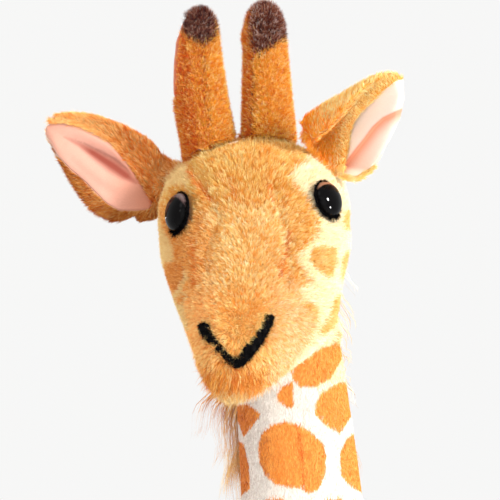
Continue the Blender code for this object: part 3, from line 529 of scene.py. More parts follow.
def head_coat(points, normals, seed):
    rng = np.random.default_rng(seed)
    exact = pixels_of(points)
    soft = exact + rng.normal(0, 9, exact.shape)
    pixels = exact + rng.normal(0, 1.6, exact.shape)
    x, y = soft.T
    zones = np.full(len(points), zone["crown"])
    # The muzzle's left side gets painted shade and its right side painted light, as the key lamp falls from the right
    for place, name in (((y > 205) & (x > 205) & (x < 292), "bridge"), ((y > 205) & (x < 208), "side_left"),
                        (y > 296, "muzzle"), ((y > 290) & (x < 218), "muzzle_shaded_left"),
                        ((y > 285) & (x > 272), "muzzle_lit_right"), ((y > 366) & (x < 268), "chin")):
        zones[place] = zone[name]
    zones[pixels[:, 1] + rng.normal(0, 2.5, len(x)) > 388] = zone["lip"]
    chance = np.zeros(len(x))
    for path, strength, reach in streaks:
        chance = np.maximum(chance, strength * np.exp(-(path_distance(exact, path) / reach) ** 2))
    zones[rng.random(len(x)) < chance] = zone["streak"]
    facing_front = normals[:, 1] < 0.12
    edge = exact + rng.normal(0, 2.4, exact.shape)
    pixels = exact + rng.normal(0, 0.9, exact.shape)
    right = within(edge, cheek_right)
    marks = [(right, "cream"), (within(pixels, cheek_left), "cream_left"), (within(edge, ear_root), "ear")]
    marks += [(right & within(pixels, outline), "patch_right") for outline in head_patches_right]
    marks += [(within(pixels, outline), "patch_left") for outline in head_patches_left]
    for place, name in marks:
        zones[facing_front & place] = zone[name]
    side = ~facing_front & (points[:, 2] < head_pivot.z + 0.052)
    zones[side] = zone["cream"]
    cells = patch_cells(points, head_seeds, 0.0055)
    zones[side & cells] = zone["patch_right"]
    return zones


def neck_coat(points, normals, seed):
    """The patches that the photo shows, a seam on each side, patches of the same kind all round the rest, and painted
    shade down the left side.
    """
    rng = np.random.default_rng(seed)
    pixels = pixels_of(points) + rng.normal(0, 0.4, (len(points), 2))
    x, y = pixels.T
    zones = np.full(len(points), zone["neck_white"])
    seen = (normals[:, 1] < 0.0) & (y > 330) & (y < 545)
    taken = np.zeros(len(points), bool)
    for outline in neck_patches:
        inside = within(pixels, outline)
        zones[seen & inside] = zone["neck_patch"]
        taken |= inside | (path_distance(pixels, outline + outline[:1]) < 7)
    side_seam = (np.abs(normals[:, 1]) < 0.04) & (y > 330) & (y < 515)
    free = np.where(seen, (y > 500) & ~taken, ~side_seam)
    zones[free & patch_cells(points, neck_seeds, 0.0065)] = zone["neck_patch"]
    fold = np.exp(-(path_distance(pixels, neck_fold) / 1.5) ** 2) * seen * (zones == zone["neck_patch"])
    zones[rng.random(len(x)) < 0.8 * fold] = zone["streak"]
    creamy = seen & ((y < 344) | (x > 318) & (rng.random(len(x)) < np.clip((402 - y) / 26, 0, 1)))
    zones[creamy & (zones == zone["neck_white"])] = zone["cream"]
    # Painted shade down the neck's left side, away from the key lamp: its white and its patches there take darker
    # zones
    shade_share = np.clip((276 - x) / 34, 0, 1) * np.clip((620 - y) / 100, 0, 1)
    shaded = (normals[:, 1] < 0.3) & (rng.random(len(x)) < shade_share)
    zones[shaded & (zones == zone["neck_white"])] = zone["neck_white_shaded"]
    zones[shaded & (zones == zone["neck_patch"])] = zone["neck_patch_shaded"]
    return zones


def torso_coat(points, normals, seed):
    rng = np.random.default_rng(seed)
    jitter = rng.normal(0, 0.0006, points.shape)
    cells = patch_cells(points + jitter, torso_seeds, 0.0075)
    return np.where(cells & (points[:, 2] >= white_foot_height), zone["neck_patch"], zone["neck_white"])


def horn_coat(hand):
    """Orange, darker on the left of the seam, partly the cloth's own deeper orange and partly painted shade on the
    side away from the key lamp, with the dark tip's own slanted edge.
    """
    def coat(points, normals, seed):
        rng = np.random.default_rng(seed)
        pixels = pixels_of(points) + rng.normal(0, 1.6, (len(points), 2))
        seam = np.array(horn_seams[hand])
        beside_seam = pixels[:, 0] - np.interp(pixels[:, 1], seam[:, 1], seam[:, 0])
        dark = {"right": (-14, -34), "left": (0, -20)}[hand]
        pick = rng.random(len(points))
        zones = np.where(pick < 0.15, zone["horn_dark"], zone["horn"])
        # Partly painted shade: more dark strands on the left of the seam, the side away from the key lamp
        zones[(beside_seam < dark[0]) & (pick < 0.85)] = zone["horn_dark"]
        zones[(beside_seam < 0) & (beside_seam >= dark[0]) & (pick < 0.45)] = zone["horn_dark"]
        zones[(np.abs(beside_seam) < 0.9) & (pick < 0.7)] = zone["seam"]
        in_tip = within(pixels, tip_outlines[hand])
        behind = normals[:, 1] > 0.15
        in_tip = np.where(behind, points[:, 2] > tip_seam[hand] + rng.normal(0, 0.0008, len(points)), in_tip)
        light = rng.random(len(points)) < {"left": 0.6, "right": 0.32}[hand]
        return np.where(in_tip, np.where(light, zone["tip_light"], zone["tip"]), zones)
    return coat


def plain_coat(name, other=None, share=0.0, wavelength=0.01):
    """One zone all over, or with a share of another one in soft blotches."""
    def coat(points, normals, seed):
        zones = np.full(len(points), zone[name])
        if other:
            blots = ripple(points, wavelength, seed)[:, 0] + np.random.default_rng(seed).normal(0, 0.5, len(points))
            zones[blots > np.quantile(blots, 1 - share)] = zone[other]
        return zones
    return coat


def coat_mix(zones, part):
    """The colour between a zone's deep one at 0 and its light one at 1."""
    pairs = np.log(np.maximum([[linear(one) for one in coat_colours[name]] for name in zone_names], 0.0008))
    light, deep = pairs[zones, 0], pairs[zones, 1]
    return np.exp(deep + (light - deep) * part[..., None])


def paint_under(thing, coat, seed, lightness=0.3):
    """Gives the cloth under the pile its coat colours, deeper than the pile's ends, as painted shade under the pile.
    """
    points, normals, _ = mesh_arrays(thing.data)
    set_coat(thing.data, coat_mix(coat(points, normals, seed), np.full(len(points), lightness)))


# Fur

def scatter(thing, per_mm2, seed, keep=None):
    """Random places on a mesh, with its normals there. keep is a share for each point of the mesh."""
    points, normals, corners = mesh_arrays(thing.data)
    a, b, c = (points[corners[:, k]] for k in range(3))
    area = np.linalg.norm(np.cross(b - a, c - a), axis=1) / 2
    if keep is not None:
        area = area * keep[corners].mean(1)
    rng = np.random.default_rng(seed)
    count = int(area.sum() * 1e6 * per_mm2 * share_of_strands)
    pick = rng.choice(len(corners), count, p=area / area.sum())
    u, v = rng.random((2, count, 1))
    over = u + v > 1
    u, v = np.where(over, 1 - u, u), np.where(over, 1 - v, v)
    mix = [1 - u - v, u, v]
    at = sum(points[corners[pick, k]] * mix[k] for k in range(3))
    out = unit(sum(normals[corners[pick, k]] * mix[k] for k in range(3)))
    return at, out


def tangent(directions, normals):
    """The part of directions that lies along the surface."""
    return directions - normals * (directions * normals).sum(1, keepdims=True)


def combed(direction, normals):
    """One direction's part along the surface at each of its normals."""
    return tangent(np.tile(direction, (len(normals), 1)), normals)


def beside(path, count, spread, rng):
    """Pixels scattered about a path, with the path's direction at each."""
    count = int(count * share_of_strands)
    path = np.array(path, float)
    spot = rng.random(count) * (len(path) - 1)
    low = np.minimum(spot.astype(int), len(path) - 2)
    part = (spot - low)[:, None]
    return path[low] * (1 - part) + path[low + 1] * part + rng.normal(0, spread, (count, 2)), path[low + 1] - path[low]


def shade_of(tone):
    """The palette's shade for a tone from 0 to 1."""
    return np.clip((tone * shades).astype(int), 0, shades - 1)


def ribbons(name, carrier, material, spines, widths, zones, sideways, shade):
    """A piece of tapered ribbons along spines, an array of strands by places, each one a flat colour ramp that deepens
    towards its root as painted shade of the deep pile.
    """
    strands, places = spines.shape[:2]
    points = np.empty((strands, places * 2 - 1, 3))
    for k in range(places - 1):
        half = sideways * (widths[:, None] * (1 - k / (places - 1)) ** 0.6 / 2)
        points[:, 2 * k] = spines[:, k] - half
        points[:, 2 * k + 1] = spines[:, k] + half
    points[:, -1] = spines[:, -1]
    quads = places - 2
    corners_each = quads * 4 + 3
    pattern = []
    for k in range(quads):
        pattern += [2 * k, 2 * k + 1, 2 * k + 3, 2 * k + 2]
    pattern += [2 * quads, 2 * quads + 1, 2 * quads + 2]
    pattern = np.array(pattern)
    per_strand = places * 2 - 1
    loops = (np.arange(strands)[:, None] * per_strand + pattern).ravel()
    starts = (np.arange(strands)[:, None] * corners_each + np.arange(quads + 1) * 4).ravel()
    mesh = bpy.data.meshes.new(name)
    mesh.vertices.add(strands * per_strand)
    mesh.vertices.foreach_set("co", points.astype(np.float32).ravel())
    mesh.loops.add(len(loops))
    mesh.loops.foreach_set("vertex_index", loops.astype(np.int32))
    mesh.polygons.add(len(starts))
    mesh.polygons.foreach_set("loop_start", starts.astype(np.int32))
    mesh.update(calc_edges=True)
    level = np.repeat(np.arange(places) / (places - 1), 2)[:per_strand]
    part = shade / (shades - 1)
    # Painted shade: each strand deepens from its tip towards its root, where deep pile shades itself; the tone between
    # strands is their own
    colours = coat_mix(zones[:, None], part[:, None] ** 0.7 * (0.45 + 0.55 * level))
    set_coat(mesh, np.clip(colours, 0, 1).reshape(-1, 3))
    cell = zones * shades + shade
    side = np.tile([0.0, 1.0], places)[:per_strand]
    side[-1] = 0.5
    across = ((cell % palette_side)[:, None] + 0.25 + 0.5 * side) / palette_side
    along = ((cell // palette_side)[:, None] + 0.15 + 0.7 * level) / palette_side
    places_on_map = np.stack([across, along], 2).reshape(-1, 2)
    chart = mesh.uv_layers.new(name="OFBake")
    chart.uv.foreach_set("vector", places_on_map[loops].astype(np.float32).ravel())
    piece = link(name, mesh)
    dress(piece, material)
    if carrier is not None:
        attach(piece, carrier)
    return piece


def grow(name, carrier, roots, normals, flow, coat, slot_name, length, width, lean, seed,
         wild=0.14, tuft=0.0016, gather=0.35, tuft_tone=0.5, contrast=1.0, places=3, droop=0.0, material=None):
    """Grows pile from roots, in tufts whose tips draw together. A carrier of None leaves its bodies to the caller.

    lean is how far the strands lie along the flow, wild how far they stray, and gather how far a tuft draws together.
    """
    rng = np.random.default_rng(seed)
    count = len(roots)
    zones = coat(roots, normals, seed)
    cells = np.floor((roots + ripple(roots, tuft * 6, seed + 5) * tuft * 0.6) / tuft).astype(int)
    _, of_tuft = np.unique(cells, axis=0, return_inverse=True)
    of_tuft = of_tuft.ravel()
    sizes = np.bincount(of_tuft)
    middle = np.stack([np.bincount(of_tuft, roots[:, k]) / sizes for k in range(3)], 1)[of_tuft]
    tone = rng.random(len(sizes))[of_tuft] * tuft_tone + rng.random(count) * (1 - tuft_tone)
    tone = 0.5 + (tone - 0.5) * contrast / math.hypot(tuft_tone, 1 - tuft_tone)
    shade = shade_of(tone)
    sway = rng.normal(0, wild, (len(sizes), 3))[of_tuft] + rng.normal(0, wild, (count, 3))
    lean = np.broadcast_to(lean, count)[:, None]
    length = np.broadcast_to(length, count)[:, None] * rng.uniform(0.78, 1.08, (count, 1))
    start = unit(normals * (1 - lean) + unit(flow) * lean + tangent(sway, normals))
    end = unit(start + unit(flow) * lean * 0.8 + sway * 0.5 + np.array([0, 0, -droop]))
    spines = np.empty((count, places, 3))
    spines[:, 0] = roots
    for k in range(1, places):
        share = (k - 1) / max(1, places - 2)
        spines[:, k] = spines[:, k - 1] + unit(start * (1 - share) + end * share) * length / (places - 1)
    for k in range(1, places):
        spines[:, k] += (middle - roots) * gather * (k / (places - 1)) ** 1.5
    sideways = unit(np.cross(start, rng.normal(size=(count, 3))))
    widths = np.broadcast_to(width, count) * rng.uniform(0.75, 1.2, count)
    made = []
    pieces = max(1, math.ceil(count / strands_in_piece))
    for k in range(pieces):
        part = slice(k, None, pieces)
        label = f"{name}_{k + 1}"
        made.append(ribbons(label, carrier, material or pile, spines[part], widths[part], zones[part],
                            sideways[part], shade[part]))
    return made


def cover(thing, name, carrier, coat, slot_name, per_mm2, direction, length, width, lean, seeds, keep=None, **looks):
    """Grows pile all over a form, combed one way. seeds are for its places and for its strands."""
    roots, normals = scatter(thing, per_mm2, seeds[0], keep)
    return grow(name, carrier, roots, normals, combed(direction, normals), coat, slot_name, length, width, lean,
                seeds[1], **looks)


def settle(piece, body, slot_name, *stood_for, fill=None, look=None):
    """Sets a piece on its body and hides the solids it stands for. Its slot and its stuffing are not used.

    look is its coat, the coat's seed and its material, where it doesn't have them yet.
    """
    if look:
        paint_under(piece, *look[:2])
        dress(piece, look[2])
    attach(piece, body)
    if stood_for:
        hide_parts(*stood_for)


def middle_of(node):
    low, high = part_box(node)
    return (low + high) / 2


def mean_point(node, keep=None):
    points, _, _ = mesh_arrays(nodes[node].data)
    return Vector((points if keep is None else points[keep(points)]).mean(0))


def closed_form(name, bm):
    """A smooth thing of a bmesh's faces, all turned outward."""
    bmesh.ops.recalc_face_normals(bm, faces=bm.faces)
    mesh = mesh_from(name, bm)
    mesh.shade_smooth()
    return link(name, mesh)


def lathe(name, profile, centre, axis, steps):
    """A smooth solid turned from a profile of radius and height about an axis."""
    turn = axis.to_track_quat("Z", "Y").to_matrix()
    bm = bmesh.new()
    rings = []
    for radius, height in profile:
        if radius == 0:
            rings.append([bm.verts.new(centre + turn @ Vector((0, 0, height)))] * steps)
            continue
        ring = []
        for k in range(steps):
            angle = math.tau * k / steps
            at = Vector((radius * math.cos(angle), radius * math.sin(angle), height))
            ring.append(bm.verts.new(centre + turn @ at))
        rings.append(ring)
    for near, far in zip(rings, rings[1:]):
        for k in range(steps):
            corners = []
            for vert in (near[k - 1], near[k], far[k], far[k - 1]):
                if vert not in corners:
                    corners.append(vert)
            bm.faces.new(corners)
    return closed_form(name, bm)


def tube_mesh(name, lines, radii, sides):
    """Round tubes along lines of points, with a radius for each point, in one mesh."""
    bm = bmesh.new()
    for line in lines:
        line = [Vector(point) for point in line]
        up = Vector((0.3, 0.2, 1))
        rings = []
        for k, point in enumerate(line):
            ahead = (line[min(k + 1, len(line) - 1)] - line[max(k - 1, 0)]).normalized()
            side = ahead.cross(up).normalized()
            up = side.cross(ahead).normalized()
            ends = 0.55 if k in (0, len(line) - 1) else 1
            ring = []
            for j in range(sides):
                angle = math.tau * j / sides
                reach = radii[k] * ends
                ring.append(bm.verts.new(point + (side * math.cos(angle) + up * math.sin(angle)) * reach))
            rings.append(ring)
        for near, far in zip(rings, rings[1:]):
            for j in range(sides):
                bm.faces.new((near[j - 1], near[j], far[j], far[j - 1]))
        bm.faces.new(rings[0][::-1])
        bm.faces.new(rings[-1])
    return closed_form(name, bm)


# Forms under the pile

pile_inset = 0.0025
cloth = coat_material("plush_cloth", 0.92, 0.3, 0.2, 0.0009)
pile = coat_material("plush_pile", 0.62, 0.10, 0.05)
wool = coat_material("black_wool", 0.95, 0.0, 0.04)
velvet = coat_material("ear_velvet", 0.85, 0.35, 0.2, 0.0005, 0.22, 0.00012)
neck_up = Vector(joints["head_turn"]["axis"])

# Balls at the ears' roots fill the corner between ear and head: a pixel, a place back from the toy's head, a radius
ear_corners = ((147, 153, -0.1320, 0.0052), (157, 163, -0.1320, 0.0068), (167, 172, -0.1330, 0.0082),
               (175, 176, -0.1350, 0.0090), (320, 158, -0.1480, 0.0070), (337, 173, -0.1460, 0.0066))
ear_heels = {"right": ((143, 214, -0.1340, 0.0040), (150, 210, -0.1340, 0.0052), (156, 203, -0.1340, 0.0044)),
             "left": ()}


def balls_at(rows):
    """Balls for plump, each from a pixel, a place back from the camera and a radius."""
    return [(spot_behind(*spot), radius) for *spot, radius in rows]


def swell_horn(thing):
    """Moves the left side of the toy's right horn or of its tip out, as in the photo."""
    at, out, _ = mesh_arrays(thing.data)
    swell = np.interp(pixels_of(at)[:, 1], *zip(*horn_swell))
    move_points(thing, np.clip(-out[:, :1], 0, 1) * np.array([-1.0, 0, 0]) * swell[:, None])


socket_balls = [(head_pivot - neck_up * down, 0.026) for down in (0, 0.012, 0.024)]
head = plump("head_plush", ["head_skin", "head_filling"], socket_balls + balls_at(ear_corners), 0.0022, pile_inset)
neck = plump("neck_plush", ["neck_skin", "neck_filling"], [], 0.0026, 0.0013)
body = plump("body_plush", ["body_skin", "body_filling"], [(neck_pivot, 0.0445)], 0.0034, pile_inset)
legs = {}
for end in ("front", "rear"):
    for hand in ("left", "right"):
        label = f"{end}_{hand}"
        sole = middle_of(label + "_sole")
        plug = Vector((sole.x, sole.y, 0.335))
        legs[label] = plump(label + "_leg_plush", [label + "_leg_skin", label + "_leg_filling"],
                            [(plug, 0.034)], 0.0030, pile_inset)
horns, tips, ears, tip_seam, horn_feet = {}, {}, {}, {}, {}
for hand in ("left", "right"):
    low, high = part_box(hand + "_horn")
    foot = mean_point(hand + "_horn", lambda at: at[:, 2] < low.z + 0.02)
    top = mean_point(hand + "_horn", lambda at: at[:, 2] > high.z - 0.006)
    rise = (top - foot).normalized()
    tip_seam[hand] = high.z - 0.001
    horn_feet[hand] = foot
    horns[hand] = plump(hand + "_horn_plush", [hand + "_horn"], [(foot - rise * 0.010, 0.0118), (top, 0.0108)],
                        0.0016, 0.0020)
    tips[hand] = plump(hand + "_horn_tip_plush", [hand + "_horn_tip"], [(top, 0.0104)], 0.0014, 0.0018)
    if hand == "right":
        swell_horn(horns[hand])
        swell_horn(tips[hand])
    at, _, _ = mesh_arrays(tips[hand].data)
    upper = np.clip((at[:, 2] - high.z) / (at[:, 2].max() - high.z), 0, 1)[:, None] ** 1.5
    move_points(tips[hand], (at[:, :2].mean(0) - at[:, :2]) @ np.eye(2, 3) * upper * 0.16)
    ears[hand] = plump(hand + "_ear_plush", [hand + "_ear"], balls_at(ear_heels[hand]), 0.0011, 0.0007, 3)

# The toy's cheeks stand out a little, and the muzzle's creases and seams are pressed in
points, normals, _ = mesh_arrays(head.data)
pixels = pixels_of(points)
swell = (np.interp(pixels[:, 1], *zip(*left_cheek_swell)) * np.clip(normals[:, 0], 0, 1)
         - np.interp(pixels[:, 1], *zip(*right_cheek_swell)) * np.clip(-normals[:, 0], 0, 1))
move_points(head, np.array([1.0, 0, 0]) * (swell * np.clip(1.6 - 2 * normals[:, 1], 0, 1))[:, None])
points, normals, _ = mesh_arrays(head.data)
pixels = pixels_of(points)
press = np.zeros(len(points))
for path in creases:
    press = np.maximum(press, 0.0013 * np.exp(-(path_distance(pixels, path) / 3.5) ** 2))
move_points(head, -normals * (press * (normals[:, 1] < -0.2))[:, None])

head_tree, neck_tree, body_tree = surface_of(head), surface_of(neck), surface_of(body)
leg_tree = {label: surface_of(leg) for label, leg in legs.items()}
head_points, head_normals, _ = mesh_arrays(head.data)
neck_points, _, _ = mesh_arrays(neck.data)
body_points, _, _ = mesh_arrays(body.data)
leg_points = [mesh_arrays(leg.data)[0] for leg in legs.values()]
head_seeds = spread_seeds(head_points, 0.030, 11)
neck_seeds = spread_seeds(neck_points, 0.036, 12)
low_legs = np.concatenate(leg_points)
torso_seeds = np.concatenate([spread_seeds(body_points, 0.047, 13),
                              spread_seeds(low_legs[low_legs[:, 2] < 0.33], 0.036, 14)])

settle(head, "head", "orange_plush", "head_skin", "head_filling", fill=0.9, look=(head_coat, 1, cloth))
settle(body, "torso", "white_plush", "body_skin", "body_filling", fill=0.9, look=(torso_coat, 3, velvet))
for label, leg in legs.items():
    settle(leg, "torso", "white_plush", label + "_leg_skin", label + "_leg_filling", fill=0.85,
           look=(torso_coat, 4, velvet))
for hand in ("left", "right"):
    settle(horns[hand], "head", "orange_plush", hand + "_horn", fill=0.8, look=(horn_coat(hand), 4, cloth))
    settle(tips[hand], "head", "brown_plush", hand + "_horn_tip", fill=0.8, look=(horn_coat(hand), 4, cloth))
    settle(ears[hand], hand + "_ear", "orange_plush", hand + "_ear", fill=0.15)

# The neck stays sewn to the body
paint_under(neck, neck_coat, 2)
dress(neck, velvet)
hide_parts("neck_skin", "neck_filling")
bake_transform(neck)

# Eyes: where each sits and which way it looks
eyes = {}
for hand in ("left", "right"):
    felt, washer = mean_point(hand + "_eye_felt"), mean_point(hand + "_eye_washer")
    eyes[hand] = (felt, (felt - washer).normalized())

# Pile of the head: short and nearly upright on the bridge, longer on the brow and chin. In the photo it runs out
# from a spot on the brow and one on the nose, and it stands up at a whorl
brow_spot, nose_spot, whorl_spot = (250, 262), (238, 306), (240, 300)
eye_clearance, yarn_clearance = 0.0102, 3.0
inside = inside_of(head_points, neck_tree, 0.002)
for hand in ("left", "right"):
    near = np.linalg.norm(head_points - np.array(horn_feet[hand]), axis=1) < 0.019
    inside[near] |= inside_of(head_points[near], surface_of(horns[hand]), 0.001)
from_eyes = np.minimum(*(np.linalg.norm(head_points - np.array(felt), axis=1) for felt, _ in eyes.values()))
keep = (~inside & (from_eyes > eye_clearance)) * (1.0 + 0.5 * (head_normals[:, 1] < 0))
roots, normals = scatter(head, 4.2, 21, keep)
pixels = pixels_of(roots)
on_yarn = (path_distance(pixels, mouth_path) < yarn_clearance) & (normals[:, 1] < 0)
roots, normals, pixels = roots[~on_yarn], normals[~on_yarn], pixels[~on_yarn]
nose_place, _, _, _ = head_tree.ray_cast(camera_place, ray_of(*nose_spot))
backward = unit(tangent(roots - np.array(nose_place), normals))
below = np.clip((pixels[:, 1:] - 235) / 60, 0, 1)
across, down = ((pixels - brow_spot) * (1.6, 1) * (1 - below) + (pixels - nose_spot) * below).T
from_whorl = np.hypot(*(pixels - whorl_spot).T)
seen = unit(tangent(np.stack([across, np.zeros(len(roots)), -down], 1), normals))
front = np.clip(-normals[:, 1] * 2.5, 0, 1)[:, None]
flow = unit(seen * front + backward * (1 - front))
row = pixels[:, 1]
length = np.interp(row, (140, 190, 225, 300, 345, 375, 400), (0.0044, 0.0034, 0.0025, 0.0025, 0.0034, 0.0048, 0.0056))
lean = np.interp(row, (140, 225, 300, 345, 390), (0.60, 0.46, 0.42, 0.55, 0.62))
lean *= np.interp(from_whorl, (0, 45), (0.3, 1))
grow("head_fur", "head", roots, normals, flow, head_coat, "orange_plush", length, 0.00031, lean, 22, wild=0.17,
     tuft=0.0010, gather=0.45, tuft_tone=0.85)

# Pile that rises round the horns' feet
pixels, _ = beside(horn_line, 5200, 2.2, np.random.default_rng(26))
foot_hits = [hit for hit in (head_tree.ray_cast(camera_place, ray_of(*spot)) for spot in pixels) if hit[0]]
foot_roots = np.array([hit[0] for hit in foot_hits])
foot_normals = unit(np.array([hit[1] for hit in foot_hits]))
foot_flow = combed((0.0, -0.2, 1.0), foot_normals)
grow("horn_foot_fur", "head", foot_roots, foot_normals, foot_flow, head_coat, "orange_plush", 0.0052, 0.00030, 0.40,
     27, wild=0.18, tuft=0.0011, gather=0.4, tuft_tone=0.6)

# Longer strands under the chin
fringe = (row > 372) & (normals[:, 1] < 0.2) & (np.random.default_rng(23).random(len(row)) < 0.16)
grow("chin_fringe", "head", roots[fringe], normals[fringe], flow[fringe], head_coat, "orange_plush", 0.0078, 0.00028,
     0.60, 24, wild=0.24, tuft=0.0022, gather=0.5, places=4, droop=0.2)

# Pile of the neck: fine where the photo shows it, and coarser below
clear = clear_of(neck_points, head_tree, body_tree)
fine_above = 0.60
upper = neck_points[:, 2] > fine_above
downward = (0, 0, -1.0)
cover(neck, "neck_fur", "neck", neck_coat, "white_plush", 5.6, downward, 0.0017, 0.00036, 0.80, (31, 32),
      clear * upper, wild=0.09, tuft=0.0012, gather=0.1, contrast=0.6)
for piece in cover(neck, "neck_low_fur", None, neck_coat, "white_plush", 1.5, downward, 0.0026, 0.0006, 0.80, (33, 34),
                   clear * ~upper, wild=0.08, tuft=0.0022, gather=0.0, contrast=0.35):
    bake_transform(piece)

# Pile of the body and legs
cover(body, "body_fur", "torso", torso_coat, "white_plush", 0.85, (0, 1.0, -0.35), 0.0050, 0.0008, 0.76, (41, 42),
      clear_of(body_points, neck_tree, *leg_tree.values()), wild=0.11, tuft=0.0034, gather=0.2, tuft_tone=0.4,
      contrast=0.6)
for k, (label, leg) in enumerate(legs.items()):
    cover(leg, label + "_leg_fur", "torso", torso_coat, "white_plush", 0.85, downward, 0.0046, 0.0008, 0.76,
          (51 + k, 61 + k), clear_of(mesh_arrays(leg.data)[0], body_tree), wild=0.11, tuft=0.0032, gather=0.2,
          tuft_tone=0.4, contrast=0.6)

# Horns and their tips
for k, hand in enumerate(("left", "right")):
    for thing, slot_name, label in ((horns[hand], "orange_plush", "_horn_fur"),
                                    (tips[hand], "brown_plush", "_horn_tip_fur")):
        roots, normals = scatter(thing, 6.5, 71 + k, clear_of(mesh_arrays(thing.data)[0], head_tree))
        flow = combed((0, 0, 1.0), normals) + normals * 0.02
        length = np.interp(pixels_of(roots)[:, 1], (0, 40, 60), (0.0038, 0.0034, 0.0028))
        grow(hand + label, "head", roots, normals, flow, horn_coat(hand), slot_name, length, 0.00025, 0.26, 73 + k,
             wild=0.24, tuft=0.0009, gather=0.50, tuft_tone=0.85)


# Ears: the pink velvet lining, and pile on the rest of the leaf

def in_pink(points, normals, hand):
    """Which places on the side that faces the photo lie in the ear's pink part."""
    return within(pixels_of(points), bare_parts[hand]) & (normals[:, 1] < 0.3)


def ear_colours(points, normals, hand):
    """The ear's cloth: light pink, deeper towards the root, with painted shadow in the slit and under the fold."""
    pixels = pixels_of(points)
    # The toy's right ear gets darker pinks than its left, as painted shade on the side away from the key lamp; the
    # third colour is the painted shadow's
    light, deep, dark = {"right": ((226, 168, 148), (196, 126, 98), (150, 66, 48)),
                         "left": ((255, 232, 218), (255, 206, 178), (244, 140, 92))}[hand]
    light, deep, dark = linear(light), linear(deep), linear(dark)
    if hand == "right":
        root_share = np.clip((pixels[:, 0] - 104) / 44, 0, 1) + 0.35 * np.clip((70 - pixels[:, 0]) / 28, 0, 1)
        below, _, half = path_side(pixels, ear_slit)
        shadow = np.clip(1.25 - np.abs(below) / np.maximum(half, 0.5), 0, 1) * np.clip(half / 5, 0, 1)
        shadow += 0.25 * np.exp(-((below + half + 3) / 5) ** 2) * np.clip(half / 4, 0, 1)
    else:
        below, _, _ = path_side(pixels, ear_fold)
        root_share = 0.5 * np.clip((pixels[:, 1] - 140) / 35, 0, 1)
        shadow = np.where(below > 0, 0.9 * np.exp(-(below / 9) ** 2), 0.8 * np.exp(-(below / 1.2) ** 2))
    root_share = np.clip(root_share, 0, 1)[:, None]
    shadow = np.clip(shadow, 0, 1)[:, None]
    pink = (light * (1 - root_share) + deep * root_share) * (1 - shadow) + dark * shadow
    orange = linear(coat_colours["ear_low"][0]) * 0.9
    return np.where(in_pink(points, normals, hand)[:, None], pink, orange)


def flap_coat(points, normals, seed):
    """Deep orange low on the flap, golden along its top, its end and the lining's edge."""
    rng = np.random.default_rng(seed)
    exact = pixels_of(points)
    pixels = exact + rng.normal(0, 4, (len(points), 2))
    height = pixels[:, 1] - np.interp(pixels[:, 0], (300, 340, 380, 404), (122, 95, 75, 78))
    low = np.clip((height - 4) / 30, 0, 1) * np.clip((366 - pixels[:, 0]) / 26, 0, 1)
    low = np.maximum(low, np.clip((322 - pixels[:, 0]) / 10, 0, 1))
    low = low * (1 - 0.9 * np.exp(-(path_distance(exact, flap_edge) / 11) ** 2))
    pick = rng.random(len(points))
    return np.where(pick < low * 0.95, zone["horn_deep"], zone["flap"])


def ear_coat(hand):
    def coat(points, normals, seed):
        rng = np.random.default_rng(seed)
        pixels = pixels_of(points) + rng.normal(0, 5, (len(points), 2))
        if hand == "left":
            low = rng.random(len(points)) < np.clip(0.75 - (pixels[:, 1] - 112) * 0.02, 0.12, 0.85)
            return np.where(low, zone["ear_low"], zone["ear_top"])
        below = pixels[:, 1] - 123 - 0.62 * (pixels[:, 0] - 50)
        zones = np.where(rng.random(len(points)) < np.clip((112 - pixels[:, 0]) / 40 + 0.5, 0, 1), zone["ear_top"],
                         zone["ear"])
        # Deeper orange along the lower edge: partly the cloth's own colour, partly painted shade under the edge
        return np.where(below > 22, zone["ear_low"], zones)
    return coat


def neighbour_mean(grid):
    edge = np.pad(grid, 1, mode="edge")
    return (edge[:-2, 1:-1] + edge[2:, 1:-1] + edge[1:-1, :-2] + edge[1:-1, 2:]) / 4


def depth_map(tree, outline, soft_rounds=10, span_rounds=0):
    """How far from the camera a surface is, on a grid of pixels about an outline. Gaps are filled smoothly.

    span_rounds lets it span hollows, as cloth that is drawn over them does.
    """
    corners = np.array(outline)
    margin, fill_rounds = 8, 900
    low, high = corners.min(0) - margin, corners.max(0) + margin
    xs, ys = np.arange(low[0], high[0], 1.0), np.arange(low[1], high[1], 1.0)
    away = np.full((len(ys), len(xs)), np.nan)
    for j, y in enumerate(ys):
        for i, x in enumerate(xs):
            place, _, _, _ = tree.ray_cast(camera_place, ray_of(x, y))
            if place:
                away[j, i] = place.y - camera_place.y
    known = ~np.isnan(away)
    full = np.where(known, away, np.nanmean(away))
    for _ in range(fill_rounds):
        full = np.where(known, full, neighbour_mean(full))
    for _ in range(soft_rounds):
        full = neighbour_mean(full)
    for _ in range(span_rounds):
        full = np.minimum(full, neighbour_mean(full))
    nearest = np.where(known, away, np.inf)

    def depth(pixels):
        at = pixels - low
        i = np.clip(at[:, 0], 0, len(xs) - 1.001)
        j = np.clip(at[:, 1], 0, len(ys) - 1.001)
        a, b = i.astype(int), j.astype(int)
        u, v = i - a, j - b
        soft = (full[b, a] * (1 - u) * (1 - v) + full[b, a + 1] * u * (1 - v)
                + full[b + 1, a] * (1 - u) * v + full[b + 1, a + 1] * u * v)
        return np.minimum(soft, nearest[b, a] + 0.0004)
    return depth


